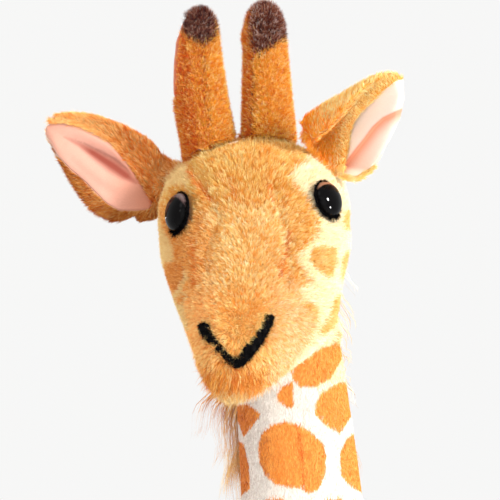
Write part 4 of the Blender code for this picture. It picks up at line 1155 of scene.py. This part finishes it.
def cast_sheet(name, outline, depth, lift):
    """A smooth sheet over an outline of pixels, laid on a depth and lifted towards the camera."""
    ring = np.array(outline, float)
    thirds = np.linspace(0, 1, 4)[:-1, None]
    ring = np.concatenate([a * (1 - thirds) + b * thirds for a, b in zip(ring, np.roll(ring, -1, 0))])
    for _ in range(2):
        after = np.roll(ring, -1, 0)
        ring = np.stack([ring * 0.75 + after * 0.25, ring * 0.25 + after * 0.75], 1).reshape(-1, 2)
    low, high = ring.min(0), ring.max(0)
    grid = np.stack(np.meshgrid(np.arange(low[0], high[0], 1.1), np.arange(low[1], high[1], 1.1)), 2).reshape(-1, 2)
    closed = [tuple(point) for point in ring]
    from_edge = path_distance(grid, closed + closed[:1])
    grid = grid[within(grid, tuple(closed)) & (from_edge > 0.7)]
    flat = [Vector(point) for point in np.concatenate([ring, grid])]
    edges = [(k, (k + 1) % len(ring)) for k in range(len(ring))]
    flat, _, faces, _, _, _ = delaunay_2d_cdt(flat, edges, [], 1, 1e-5)
    pixels = np.array([tuple(point) for point in flat])
    rise = np.clip(path_distance(pixels, closed + closed[:1]) / 4, 0, 1) ** 0.6
    points = points_at(pixels, depth(pixels) - lift(pixels) * rise - 0.0002)
    mesh = bpy.data.meshes.new(name)
    mesh.from_pydata(points.tolist(), [], [face[::-1] for face in faces])
    mesh.update()
    thing = link(name, mesh)
    if mesh_arrays(mesh)[1][:, 1].mean() > 0:
        mesh.flip_normals()
    softened(thing, "SOLIDIFY", {"thickness": 0.0011, "offset": -1}, 0.4, 2)
    thing.data.shade_smooth()
    return thing


def right_lift(pixels):
    """A full lower lip, a thinner upper one, and the slit between them."""
    below, along, half = path_side(pixels, ear_slit)
    held = np.sin(np.clip(along, 0.03, 0.97) * math.pi) ** 0.6
    lips = 0.0026 * np.exp(-((below - half - 7) / 9) ** 2) + 0.0012 * np.exp(-((below + half + 6) / 6) ** 2)
    return 0.0008 + (lips - 0.0009 * (np.abs(below) < half)) * held


def left_lift(pixels):
    """The band along the fold stands over the part below it."""
    below, _, _ = path_side(pixels, ear_fold)
    band, edge = np.exp(-((below + 4) / 9) ** 2), np.exp(-(below / 1.2) ** 2)
    return 0.0008 + np.where(below < 0, 0.0016 * band, 0.0016 * edge)


def sew(cloth, hand, slot_name, flat, *stood_for):
    """Sets a cast sheet on its ear. The size that it was cut to is not used."""
    settle(cloth, hand + "_ear", slot_name, *stood_for)


def edge_fur(hand, part, path, count, spread, seeds, depth, lift, out, flow, coat, length, width, lean, **looks):
    """Pile along a path on an ear, lifted towards the camera. flow is a direction, or makes one from the path's."""
    pixels, ahead = beside(path, count, spread, np.random.default_rng(seeds[0]))
    roots = points_at(pixels, depth(pixels) - lift)
    normals = unit(np.tile(out, (len(roots), 1)))
    flow = flow(ahead) if callable(flow) else np.tile(flow, (len(roots), 1))
    grow(f"{hand}_ear_{part}_fur", hand + "_ear", roots, normals, flow, coat, "orange_plush", length, width, lean,
         seeds[1], **looks)


def down_the_rim(ahead):
    flow = np.stack([-ahead[:, 0], np.full(len(ahead), -0.3), ahead[:, 1]], 1)
    return unit(flow) + np.array([-0.25, 0, -0.25])


for k, hand in enumerate(("left", "right")):
    root = np.array(joints[hand + "_ear_turn"]["pos_m"])
    leaf = ears[hand]
    leaf_tree = surface_of(leaf)
    depth = depth_map(leaf_tree, ear_pinks[hand])
    lift = {"left": left_lift, "right": right_lift}[hand]
    lining = cast_sheet(hand + "_ear_lining_cloth", ear_pinks[hand], depth, lift)
    at, _, _ = mesh_arrays(lining.data)
    set_coat(lining.data, ear_colours(at, np.tile([0, -1.0, 0], (len(at), 1)), hand))
    dress(lining, velvet)
    sew(lining, hand, "pink_plush", lining_cuts[hand], hand + "_ear_lining")
    at, out, _ = mesh_arrays(leaf.data)
    set_coat(leaf.data, ear_colours(at, out, hand))
    dress(leaf, velvet)
    roots, normals = scatter(leaf, 6.0, 81 + k, clear_of(at, head_tree))
    bare = within(pixels_of(roots), bare_parts[hand]) & (normals[:, 1] < {"left": 0.85, "right": 0.35}[hand])
    if hand == "left":
        # The flap's plush lies smooth over the fold
        laid, spanned = depth_map(leaf_tree, ear_flap, 60), depth_map(leaf_tree, ear_flap, span_rounds=600)

        def flap_depth(pixels):
            share = np.exp(-(path_distance(pixels, flap_edge) / 26) ** 2)
            return laid(pixels) * (1 - share) + spanned(pixels) * share

        flap = cast_sheet("left_ear_flap_cloth", ear_flap, flap_depth, lambda pixels: np.full(len(pixels), 0.0006))
        paint_under(flap, plain_coat("horn"), 4)
        dress(flap, velvet)
        sew(flap, hand, "orange_plush", flap_cut)
        bare |= within(pixels_of(roots), ear_flap) & (normals[:, 1] < 0.1)
    roots, normals = roots[~bare], normals[~bare]
    grow(hand + "_ear_fur", hand + "_ear", roots, normals, tangent(roots - root, normals), ear_coat(hand),
         "orange_plush", 0.0032, 0.00026, 0.80, 83 + k, wild=0.12, tuft=0.0010, gather=0.35, tuft_tone=0.8)
    if hand == "left":
        roots, normals = scatter(flap, 6.5, 89, (mesh_arrays(flap.data)[1][:, 1] < 0.1).astype(float))
        near_edge = np.exp(-(path_distance(pixels_of(roots), flap_edge) / 12) ** 2)[:, None]
        flow = tangent(np.array([0.35, 0, 1.0]) - np.array([0.75, 0, 0]) * near_edge, normals)
        grow("left_ear_flap_fur", "left_ear", roots, normals, flow, flap_coat, "orange_plush", 0.0026, 0.00030, 0.66,
             90, wild=0.08, tuft=0.0009, gather=0.35, tuft_tone=0.85)
        # Pile that covers the line where the ear meets the head, and the fur edge below the folded ear's lining
        edge_fur(hand, "foot", ear_foot, 2600, 1.6, (94, 95), flap_depth, 0.0006, (-0.1, -1.0, 0.1),
                 (-0.5, -0.1, -1.0), flap_coat, 0.0040, 0.00030, 0.72, wild=0.16, tuft=0.0011, gather=0.35,
                 tuft_tone=0.7)
        edge_fur(hand, "hem", ear_hem, 2600, 0.9, (87, 88), depth, 0.0002, (0.2, -1.0, -0.5), (1.0, 0, 0.3),
                 plain_coat("flap"), 0.0034, 0.00026, 0.75, wild=0.14, tuft=0.0018, gather=0.30)
    else:
        # Pile that falls over the upper edge of the open ear's lining
        edge_fur(hand, "rim", upper_rim, 3000, 1.0, (86, 92), depth, 0.0006, (0.2, -1.0, 0.3), down_the_rim,
                 ear_coat(hand), 0.0030, 0.00026, 0.70, wild=0.16, tuft=0.0012, gather=0.40)

# Eyes: a glossy near black dome with a brown band at its top, in a ring of black felt with ragged edges
eye_glass, tree, shader = new_material("eye_glass")
feed(tree, shader, {"Roughness": 0.05, "Specular IOR Level": 0.06,
                    "Base Color": add_node(tree, "Attribute", "Color", {}, attribute_name="coat")})
lid_colours = {"left": (150, 106, 82), "right": (96, 76, 74)}
eye_sizes = {"left": 0.92, "right": 0.98}
eye_measures = (0.0094, 0.0056, 0.0096)  # the dome's radius and height, and its ring's radius
eye_lift, eye_back, lash_count = 0.0006, -0.0008, 1100
for k, (hand, (felt, look)) in enumerate(eyes.items()):
    eye_radius, eye_dome, felt_radius = (size * eye_sizes[hand] for size in eye_measures)
    bends = [math.pi / 2 * j / 16 for j in range(16)]
    profile = [(eye_radius * math.cos(bend), eye_dome * math.sin(bend)) for bend in bends]
    profile = [(0, eye_dome)] + profile[::-1] + [(eye_radius * 0.98, eye_back), (0, eye_back)]
    eye = lathe(hand + "_eye_dome", profile, felt + look * eye_lift, look, 72)
    at, _, _ = mesh_arrays(eye.data)
    up = (Vector((0, 0, 1)) - look * look.z).normalized()
    ahead = (Vector((0, -1, 0)) + look * look.y).normalized()
    height = (at - np.array(felt)) @ np.array(up) / eye_radius
    forward = (at - np.array(felt)) @ np.array(ahead) / eye_radius
    from_pupil = np.hypot(height + 0.30, forward - 0.08)
    band = np.clip((from_pupil - 1.03) / 0.04, 0, 1)[:, None]
    set_coat(eye.data, (1 - band) * linear((8, 7, 8)) + band * linear(lid_colours[hand]))
    dress(eye, eye_glass)
    settle(eye, "head", "black_eye", hand + "_eye")
    inner = eye_radius * 0.93
    ring_profile = [(inner, 0.0), (inner, eye_lift), (felt_radius * 0.98, 0.0003), (felt_radius, eye_back),
                    (inner, -0.0012), (inner, 0.0)]
    ring = lathe(hand + "_eye_ring", ring_profile, felt, look, 40)
    settle(ring, "head", "black_felt", hand + "_eye_felt", look=(plain_coat("black"), 6, wool))
    rng = np.random.default_rng(91 + k)
    count = int(lash_count * share_of_strands)
    angle = rng.uniform(0, math.tau, count)
    turn = np.array(look.to_track_quat("Z", "Y").to_matrix())
    out = np.stack([np.cos(angle), np.sin(angle), np.zeros(count)], 1) @ turn.T
    roots = np.array(felt) + out * rng.uniform(0.97, 1.03, count)[:, None] * felt_radius + np.array(look) * eye_lift
    normals = unit(out + np.array(look) * 0.45)
    low_front = np.clip(0.4 - out @ np.array(up) * 0.5 + out @ np.array(ahead) * 0.6, 0, 1)
    length = rng.uniform(0.0006, 0.0020, count) + rng.uniform(0, 0.0034, count) * low_front
    grow(hand + "_eye_lashes", "head", roots, normals, out, plain_coat("black"), "black_felt", length, 0.00026, 0.40,
         93 + k, wild=0.48, tuft=0.0011, gather=0.3, material=wool)

# Mouth: a V of fuzzy black yarn, thicker and thinner as it goes
yarn_rise, ply_reach, ply_radius, steps_in_twist = 0.0022, 0.36, 0.55, 14
fuzz_count, edge_count = 3000, 2600
line, radii = [], []
stops = list(zip(mouth_path, mouth_half_widths))
for (start, start_half), (end, end_half) in zip(stops, stops[1:]):
    for share in np.linspace(0, 1, 7)[:-1]:
        across, down = np.array(start) * (1 - share) + np.array(end) * share
        place, normal, _, _ = head_tree.ray_cast(camera_place, ray_of(across, down))
        line.append((place + normal * yarn_rise, normal))
        radii.append((start_half * (1 - share) + end_half * share) * pixel_size)
plies = []
for ply in range(3):
    points = []
    for k, (place, normal) in enumerate(line):
        ahead = (line[min(k + 1, len(line) - 1)][0] - line[max(k - 1, 0)][0]).normalized()
        side = ahead.cross(normal).normalized()
        angle = math.tau * (k / steps_in_twist + ply / 3)
        points.append(place + (side * math.cos(angle) + normal * math.sin(angle) * 0.5) * radii[k] * ply_reach)
    plies.append(points)
yarn = tube_mesh("mouth_yarn_plies", plies, [radius * ply_radius for radius in radii], 10)
settle(yarn, "head", "black_yarn", "mouth_yarn", look=(plain_coat("black"), 7, wool))
places = np.array([place for place, _ in line])
outward = np.array([normal for _, normal in line])
onward = unit(np.roll(places, -1, 0) - np.roll(places, 1, 0))
sideward = unit(np.cross(onward, outward))
radii = np.array(radii)
rng = np.random.default_rng(97)
count = int(fuzz_count * share_of_strands)
pick = rng.integers(1, len(line) - 1, count)
side = sideward[pick]
angle = rng.uniform(-0.15, 1.15, count) * math.pi
spoke = side * np.cos(angle)[:, None] + outward[pick] * np.sin(angle)[:, None]
reach = radii[pick][:, None]
roots = places[pick] + onward[pick] * rng.uniform(-0.0006, 0.0006, (count, 1)) + spoke * reach * 0.62
grow("mouth_yarn_fuzz", "head", roots, spoke, side * np.sign(np.cos(angle))[:, None], plain_coat("black"),
     "black_yarn", reach[:, 0] * rng.uniform(0.25, 0.85, count), 0.00036, 0.30, 98, wild=0.24, tuft=0.0010,
     gather=0.35, material=wool)

# Muzzle pile that falls over the yarn's edges
count = int(edge_count * share_of_strands)
pick = rng.integers(2, len(line) - 2, count)
hand_side = rng.choice([-1.0, 1.0], count)[:, None]
side = sideward[pick] * hand_side
reach = radii[pick][:, None]
roots = places[pick] + side * (reach + 0.0005) - outward[pick] * 0.0012
grow("mouth_edge_fur", "head", roots, outward[pick], -side + rng.normal(0, 0.4, (count, 3)), head_coat,
     "orange_plush", 0.0040, 0.00028, 0.52, 99, wild=0.26, tuft=0.0014, gather=0.8)

# Mane down the neck and crest on the head: a strip of cloth, and locks that leave it sideways and hang

def locks(name, strip, count, strands_each, reach, seed, carrier):
    """Long locks from a strip, each one a bundle of strands about a guide that droops."""
    rng = np.random.default_rng(seed)
    points, normals, _ = mesh_arrays(strip.data)
    backs = np.flatnonzero((normals[:, 1] > 0.0) & (points[:, 2] < points[:, 2].max() - 0.012))
    pick = rng.choice(backs, count)
    hand_side = np.where(rng.random(count) < 0.58, -1.0, 1.0)
    places, steps = 9, 8
    heading = normals[pick] + np.stack([hand_side * rng.uniform(0.0, 0.5, count), rng.uniform(0.2, 0.7, count),
                                        rng.uniform(-0.4, 0.15, count)], 1)
    heading = unit(heading)
    length = reach * rng.uniform(0.6, 1.1, count)
    guide = np.empty((count, places, 3))
    guide[:, 0] = points[pick]
    phase = rng.uniform(0, math.tau, (count, 1))
    for k in range(1, places):
        heading = unit(heading + np.array([0, 0, -0.04 - 0.07 * k]))
        bend = np.concatenate([np.sin(phase + k * 1.1), np.cos(phase + k * 0.8), np.zeros((count, 1))], 1) * 0.22
        guide[:, k] = guide[:, k - 1] + unit(heading + bend) * (length / steps)[:, None]
    comb(name, guide, strands_each, 0.0015, ("mane", "mane_dark"), rng, carrier)


def comb(name, guide, strands_each, spread, colours, rng, carrier):
    """Bundles of long strands about guides, which are an array of locks by nine places."""
    count = len(guide)
    each = int(strands_each * share_of_strands) + 1
    total = count * each
    spines = np.repeat(guide, each, 0)
    offset = rng.normal(0, 1, (total, 3)) * spread
    swell = np.array([0.7, 1.0, 1.1, 1.1, 1.0, 0.9, 0.8, 0.6, 0.4])
    spines += offset[:, None, :] * swell[None, :, None]
    spines += rng.normal(0, 0.00025, spines.shape).cumsum(1)
    shorten = rng.uniform(0.6, 1.0, total)
    spines = spines[:, :1] + (spines - spines[:, :1]) * shorten[:, None, None]
    tone = np.repeat(rng.random(count), each) * 0.6 + rng.random(total) * 0.4
    shade = shade_of(tone)
    zones = np.where(np.repeat(rng.random(count), each) < 0.4, zone[colours[1]], zone[colours[0]])
    sideways = unit(np.cross(spines[:, 2] - spines[:, 0], rng.normal(size=(total, 3))))
    ribbons(name, carrier, pile, spines, np.full(total, 0.00055), zones, sideways, shade)


def resampled(path, places):
    """A path's points at equal steps."""
    path = np.array(path, float)
    run = np.concatenate([[0], np.linalg.norm(np.diff(path, axis=0), axis=1).cumsum()])
    return np.stack([np.interp(np.linspace(0, run[-1], places), run, path[:, k]) for k in range(path.shape[1])], 1)


def side_locks(strip):
    """The locks that show beside the neck in the photo, from the strip behind it."""
    at, _, _ = mesh_arrays(strip.data)
    order = np.argsort(at[:, 2])
    rng = np.random.default_rng(119)
    for name, spread, strands_each, colours, rows in mane_locks:
        guides = []
        for row in rows:
            fine = resampled(row, 8)
            fine[:, 0] += np.sin(np.arange(8) * 1.3 + len(guides)) * 1.8
            z = camera_place.z + (photo_pixels / 2 - fine[0, 1]) * 1.32 / pixel_focus
            back = np.interp(z, at[order, 2], at[order, 1])
            level = at[np.abs(at[:, 2] - z - 0.004) < 0.008]
            start = level.mean(0) if len(level) else at.mean(0)
            forward = back - np.linspace(0.004, 0.016, 8)
            places = [spot_behind(*spot, y) for spot, y in zip(fine, forward)]
            guides.append(np.vstack([start, np.array(places)]))
        comb(name, np.array(guides), strands_each, spread, colours, rng, "neck")


for node, label, carrier, count, reach, seed in (("neck_mane", "neck_mane_strip", "neck", 190, 0.048, 101),
                                                  ("head_crest", "head_crest_strip", "head", 30, 0.010, 111)):
    strip = plump(label, [node], [], 0.0016, 0.0014, 3)
    settle(strip, carrier, "mane", node, fill=0.3, look=(plain_coat("mane_dark"), 8, cloth))
    cover(strip, label.replace("strip", "pile"), carrier, plain_coat("mane", "mane_dark", 0.4), "mane", 1.6,
          (0, 0.5, -1.0), 0.006, 0.0005, 0.6, (seed + 4, seed + 5), wild=0.2, tuft=0.004, gather=0.4, places=4,
          droop=0.3)
    locks(label.replace("strip", "locks"), strip, count, 64, reach, seed + 6, carrier)
    if node == "neck_mane":
        side_locks(strip)

# Hooves, soles, tail and its tuft
for k, label in enumerate(legs):
    hoof = plump(label + "_hoof_plush", [label + "_hoof"], [], 0.0020, 0.0014, 4)
    settle(hoof, "torso", "brown_plush", label + "_hoof", fill=0.8, look=(plain_coat("hoof"), 9, cloth))
    above_sole = (mesh_arrays(hoof.data)[0][:, 2] > 0.006).astype(float)
    cover(hoof, label + "_hoof_fur", "torso", plain_coat("hoof"), "brown_plush", 1.2, downward, 0.0032, 0.0006, 0.62,
          (121 + k, 125 + k), above_sole, wild=0.14)
tail = plump("tail_plush", ["tail"], [], 0.0012, 0.0010, 3)
settle(tail, "tail", "white_plush", "tail", fill=0.5, look=(plain_coat("neck_white"), 10, cloth))
cover(tail, "tail_fur", "tail", plain_coat("neck_white", "neck_patch", 0.2, 0.03), "white_plush", 3.0, (0, 0.2, -1.0),
      0.0028, 0.0004, 0.7, (131, 132), wild=0.14)
tuft = plump("tail_tuft_plush", ["tail_tuft"], [], 0.0020, 0.0030, 4)
settle(tuft, "tail", "brown_plush", "tail_tuft", fill=0.3, look=(plain_coat("hoof"), 11, cloth))
cover(tuft, "tail_tuft_hair", "tail", plain_coat("hoof", "tip_light", 0.2), "brown_plush", 1.6, (0, 0.05, -1.0),
      0.016, 0.0007, 0.8, (133, 134), wild=0.15, places=5, droop=0.3)


# CAD nodes that stay: soles, wires and washers

def grain_material(name, colour, roughness, metallic, scale, bump):
    """An even surface with a fine grain in its colour, its gloss and its relief."""
    made, tree, shader = new_material(name)
    grain = noise(tree, Scale=scale)
    gloss = {"To Min": roughness * 0.8, "To Max": roughness * 1.2, "Value": grain}
    tint = {"A": (*(linear(colour) * 0.85), 1), "B": (*linear(colour), 1), "Factor": grain}
    feed(tree, shader, {"Metallic": metallic, "Roughness": add_node(tree, "MapRange", "Result", gloss),
                        "Base Color": add_node(tree, "Mix", "Result", tint, data_type="RGBA"),
                        "Normal": add_node(tree, "Bump", "Normal", {"Distance": bump, "Height": grain})})
    return made


steel = grain_material("drawn_wire", (176, 178, 182), 0.32, 1.0, 900, 0.00005)
plastic = grain_material("washer_plastic", (226, 226, 220), 0.45, 0.0, 600, 0.00005)
sole_cloth = grain_material("sole_cloth", (112, 72, 48), 0.9, 0.0, 1500, 0.0003)
for node, thing in nodes.items():
    if node.endswith("_wire"):
        dress(thing, steel)
    elif node.endswith("_washer"):
        dress(thing, plastic)
    elif node.endswith("_sole"):
        dress(thing, sole_cloth)

# Floor, backdrop, lights and camera
bm = bmesh.new()
bmesh.ops.create_grid(bm, x_segments=1, y_segments=1, size=30)
floor = link("floor", mesh_from("floor", bm))
paper, tree, shader = new_material("pale_floor")
feed(tree, shader, {"Base Color": (0.86, 0.86, 0.855, 1), "Roughness": 0.9, "Specular IOR Level": 0.1})
dress(floor, paper)


def background_rays(tree):
    """A value that is 1 for what the camera, gloss and glass see, and 0 for the light that falls on things."""
    rays = tree.nodes.new("ShaderNodeLightPath")
    value = rays.outputs["Is Camera Ray"]
    for kind in ("Is Glossy Ray", "Is Transmission Ray"):
        value = add_node(tree, "Math", "Value", {0: value, 1: rays.outputs[kind]}, operation="MAXIMUM")
    return value


# Away from the toy the floor turns into the wall's own white, so that no horizon shows
wall_white = (0.93, 0.93, 0.925, 1)
place = add_node(tree, "TexCoord", "Object", {})
away = add_node(tree, "VectorMath", "Value", {0: place}, operation="LENGTH")
fade = add_node(tree, "MapRange", "Result", {"From Min": 0.6, "From Max": 3.5, "Value": away})
share = add_node(tree, "Math", "Value", {0: fade, 1: background_rays(tree)}, operation="MULTIPLY")
glow = add_node(tree, "Emission", "Emission", {"Color": wall_white})
mixed = add_node(tree, "MixShader", "Shader", {"Fac": share, 1: shader.outputs["BSDF"], 2: glow})
feed(tree, tree.nodes["Material Output"], {"Surface": mixed})

scene = bpy.context.scene
world = bpy.data.worlds.new("studio")
scene.world = world
world.use_nodes = True
tree = world.node_tree
soft_light = tree.nodes["Background"]
feed(tree, soft_light, {"Color": (1.0, 0.99, 0.975, 1), "Strength": 0.82})
wall = add_node(tree, "Background", "Background", {"Color": wall_white})
mixed = add_node(tree, "MixShader", "Shader", {"Fac": background_rays(tree), 1: soft_light.outputs["Background"],
                                               2: wall})
feed(tree, tree.nodes["World Output"], {"Surface": mixed})

# Lamps: name, direction from the head, distance, size, power and colour. The catches are small windows that only
# gloss sees, which make the spots in the eyes
aim = head_pivot + Vector((0, -0.04, 0.03))
for name, toward, distance, size, power, colour in (
        ("key", (0.80, -0.62, 0.33), 1.65, 0.36, 34, (1.0, 0.985, 0.955)),
        ("catch_high", (0.80, -0.62, 0.33), 1.6, 0.32, 90, (1, 1, 1)),
        ("catch_low", (0.82, -0.452, -0.30), 1.5, 0.26, 45, (1, 1, 1)),
        ("catch_left", (-0.52, 0.85, 0.10), 1.3, 0.34, 14, (1, 1, 1)),
        ("side", (-0.571, -0.767, 0.28), 1.6, 0.2, 1.6, (1, 1, 1)),
        ("fill", (0.05, -0.99, 0.0), 1.8, 2.0, 9, (1, 1, 1)),
        ("crown", (-0.55, -0.75, 0.9), 1.5, 0.9, 5, (1, 1, 1)),
        ("top", (0.1, 0.5, 1.4), 1, 1.0, 13, (1, 1, 1))):
    light = bpy.data.lights.new(name, "AREA")
    light.shape = "DISK"
    light.size = size
    light.energy = power
    light.color = colour
    lamp = link(name, light)
    lamp.location = aim + Vector(toward) * distance
    lamp.rotation_euler = (aim - lamp.location).to_track_quat("-Z", "Y").to_euler()
    lamp.visible_diffuse = not name.startswith("catch")

lens = bpy.data.cameras.new("camera")
lens.sensor_width = 36
lens.lens = lens.sensor_width * camera_distance / view_width
camera = link("camera", lens)
camera.location = camera_place
camera.rotation_euler = (math.pi / 2, 0, 0)
scene.camera = camera
scene.view_settings.view_transform = "Standard"
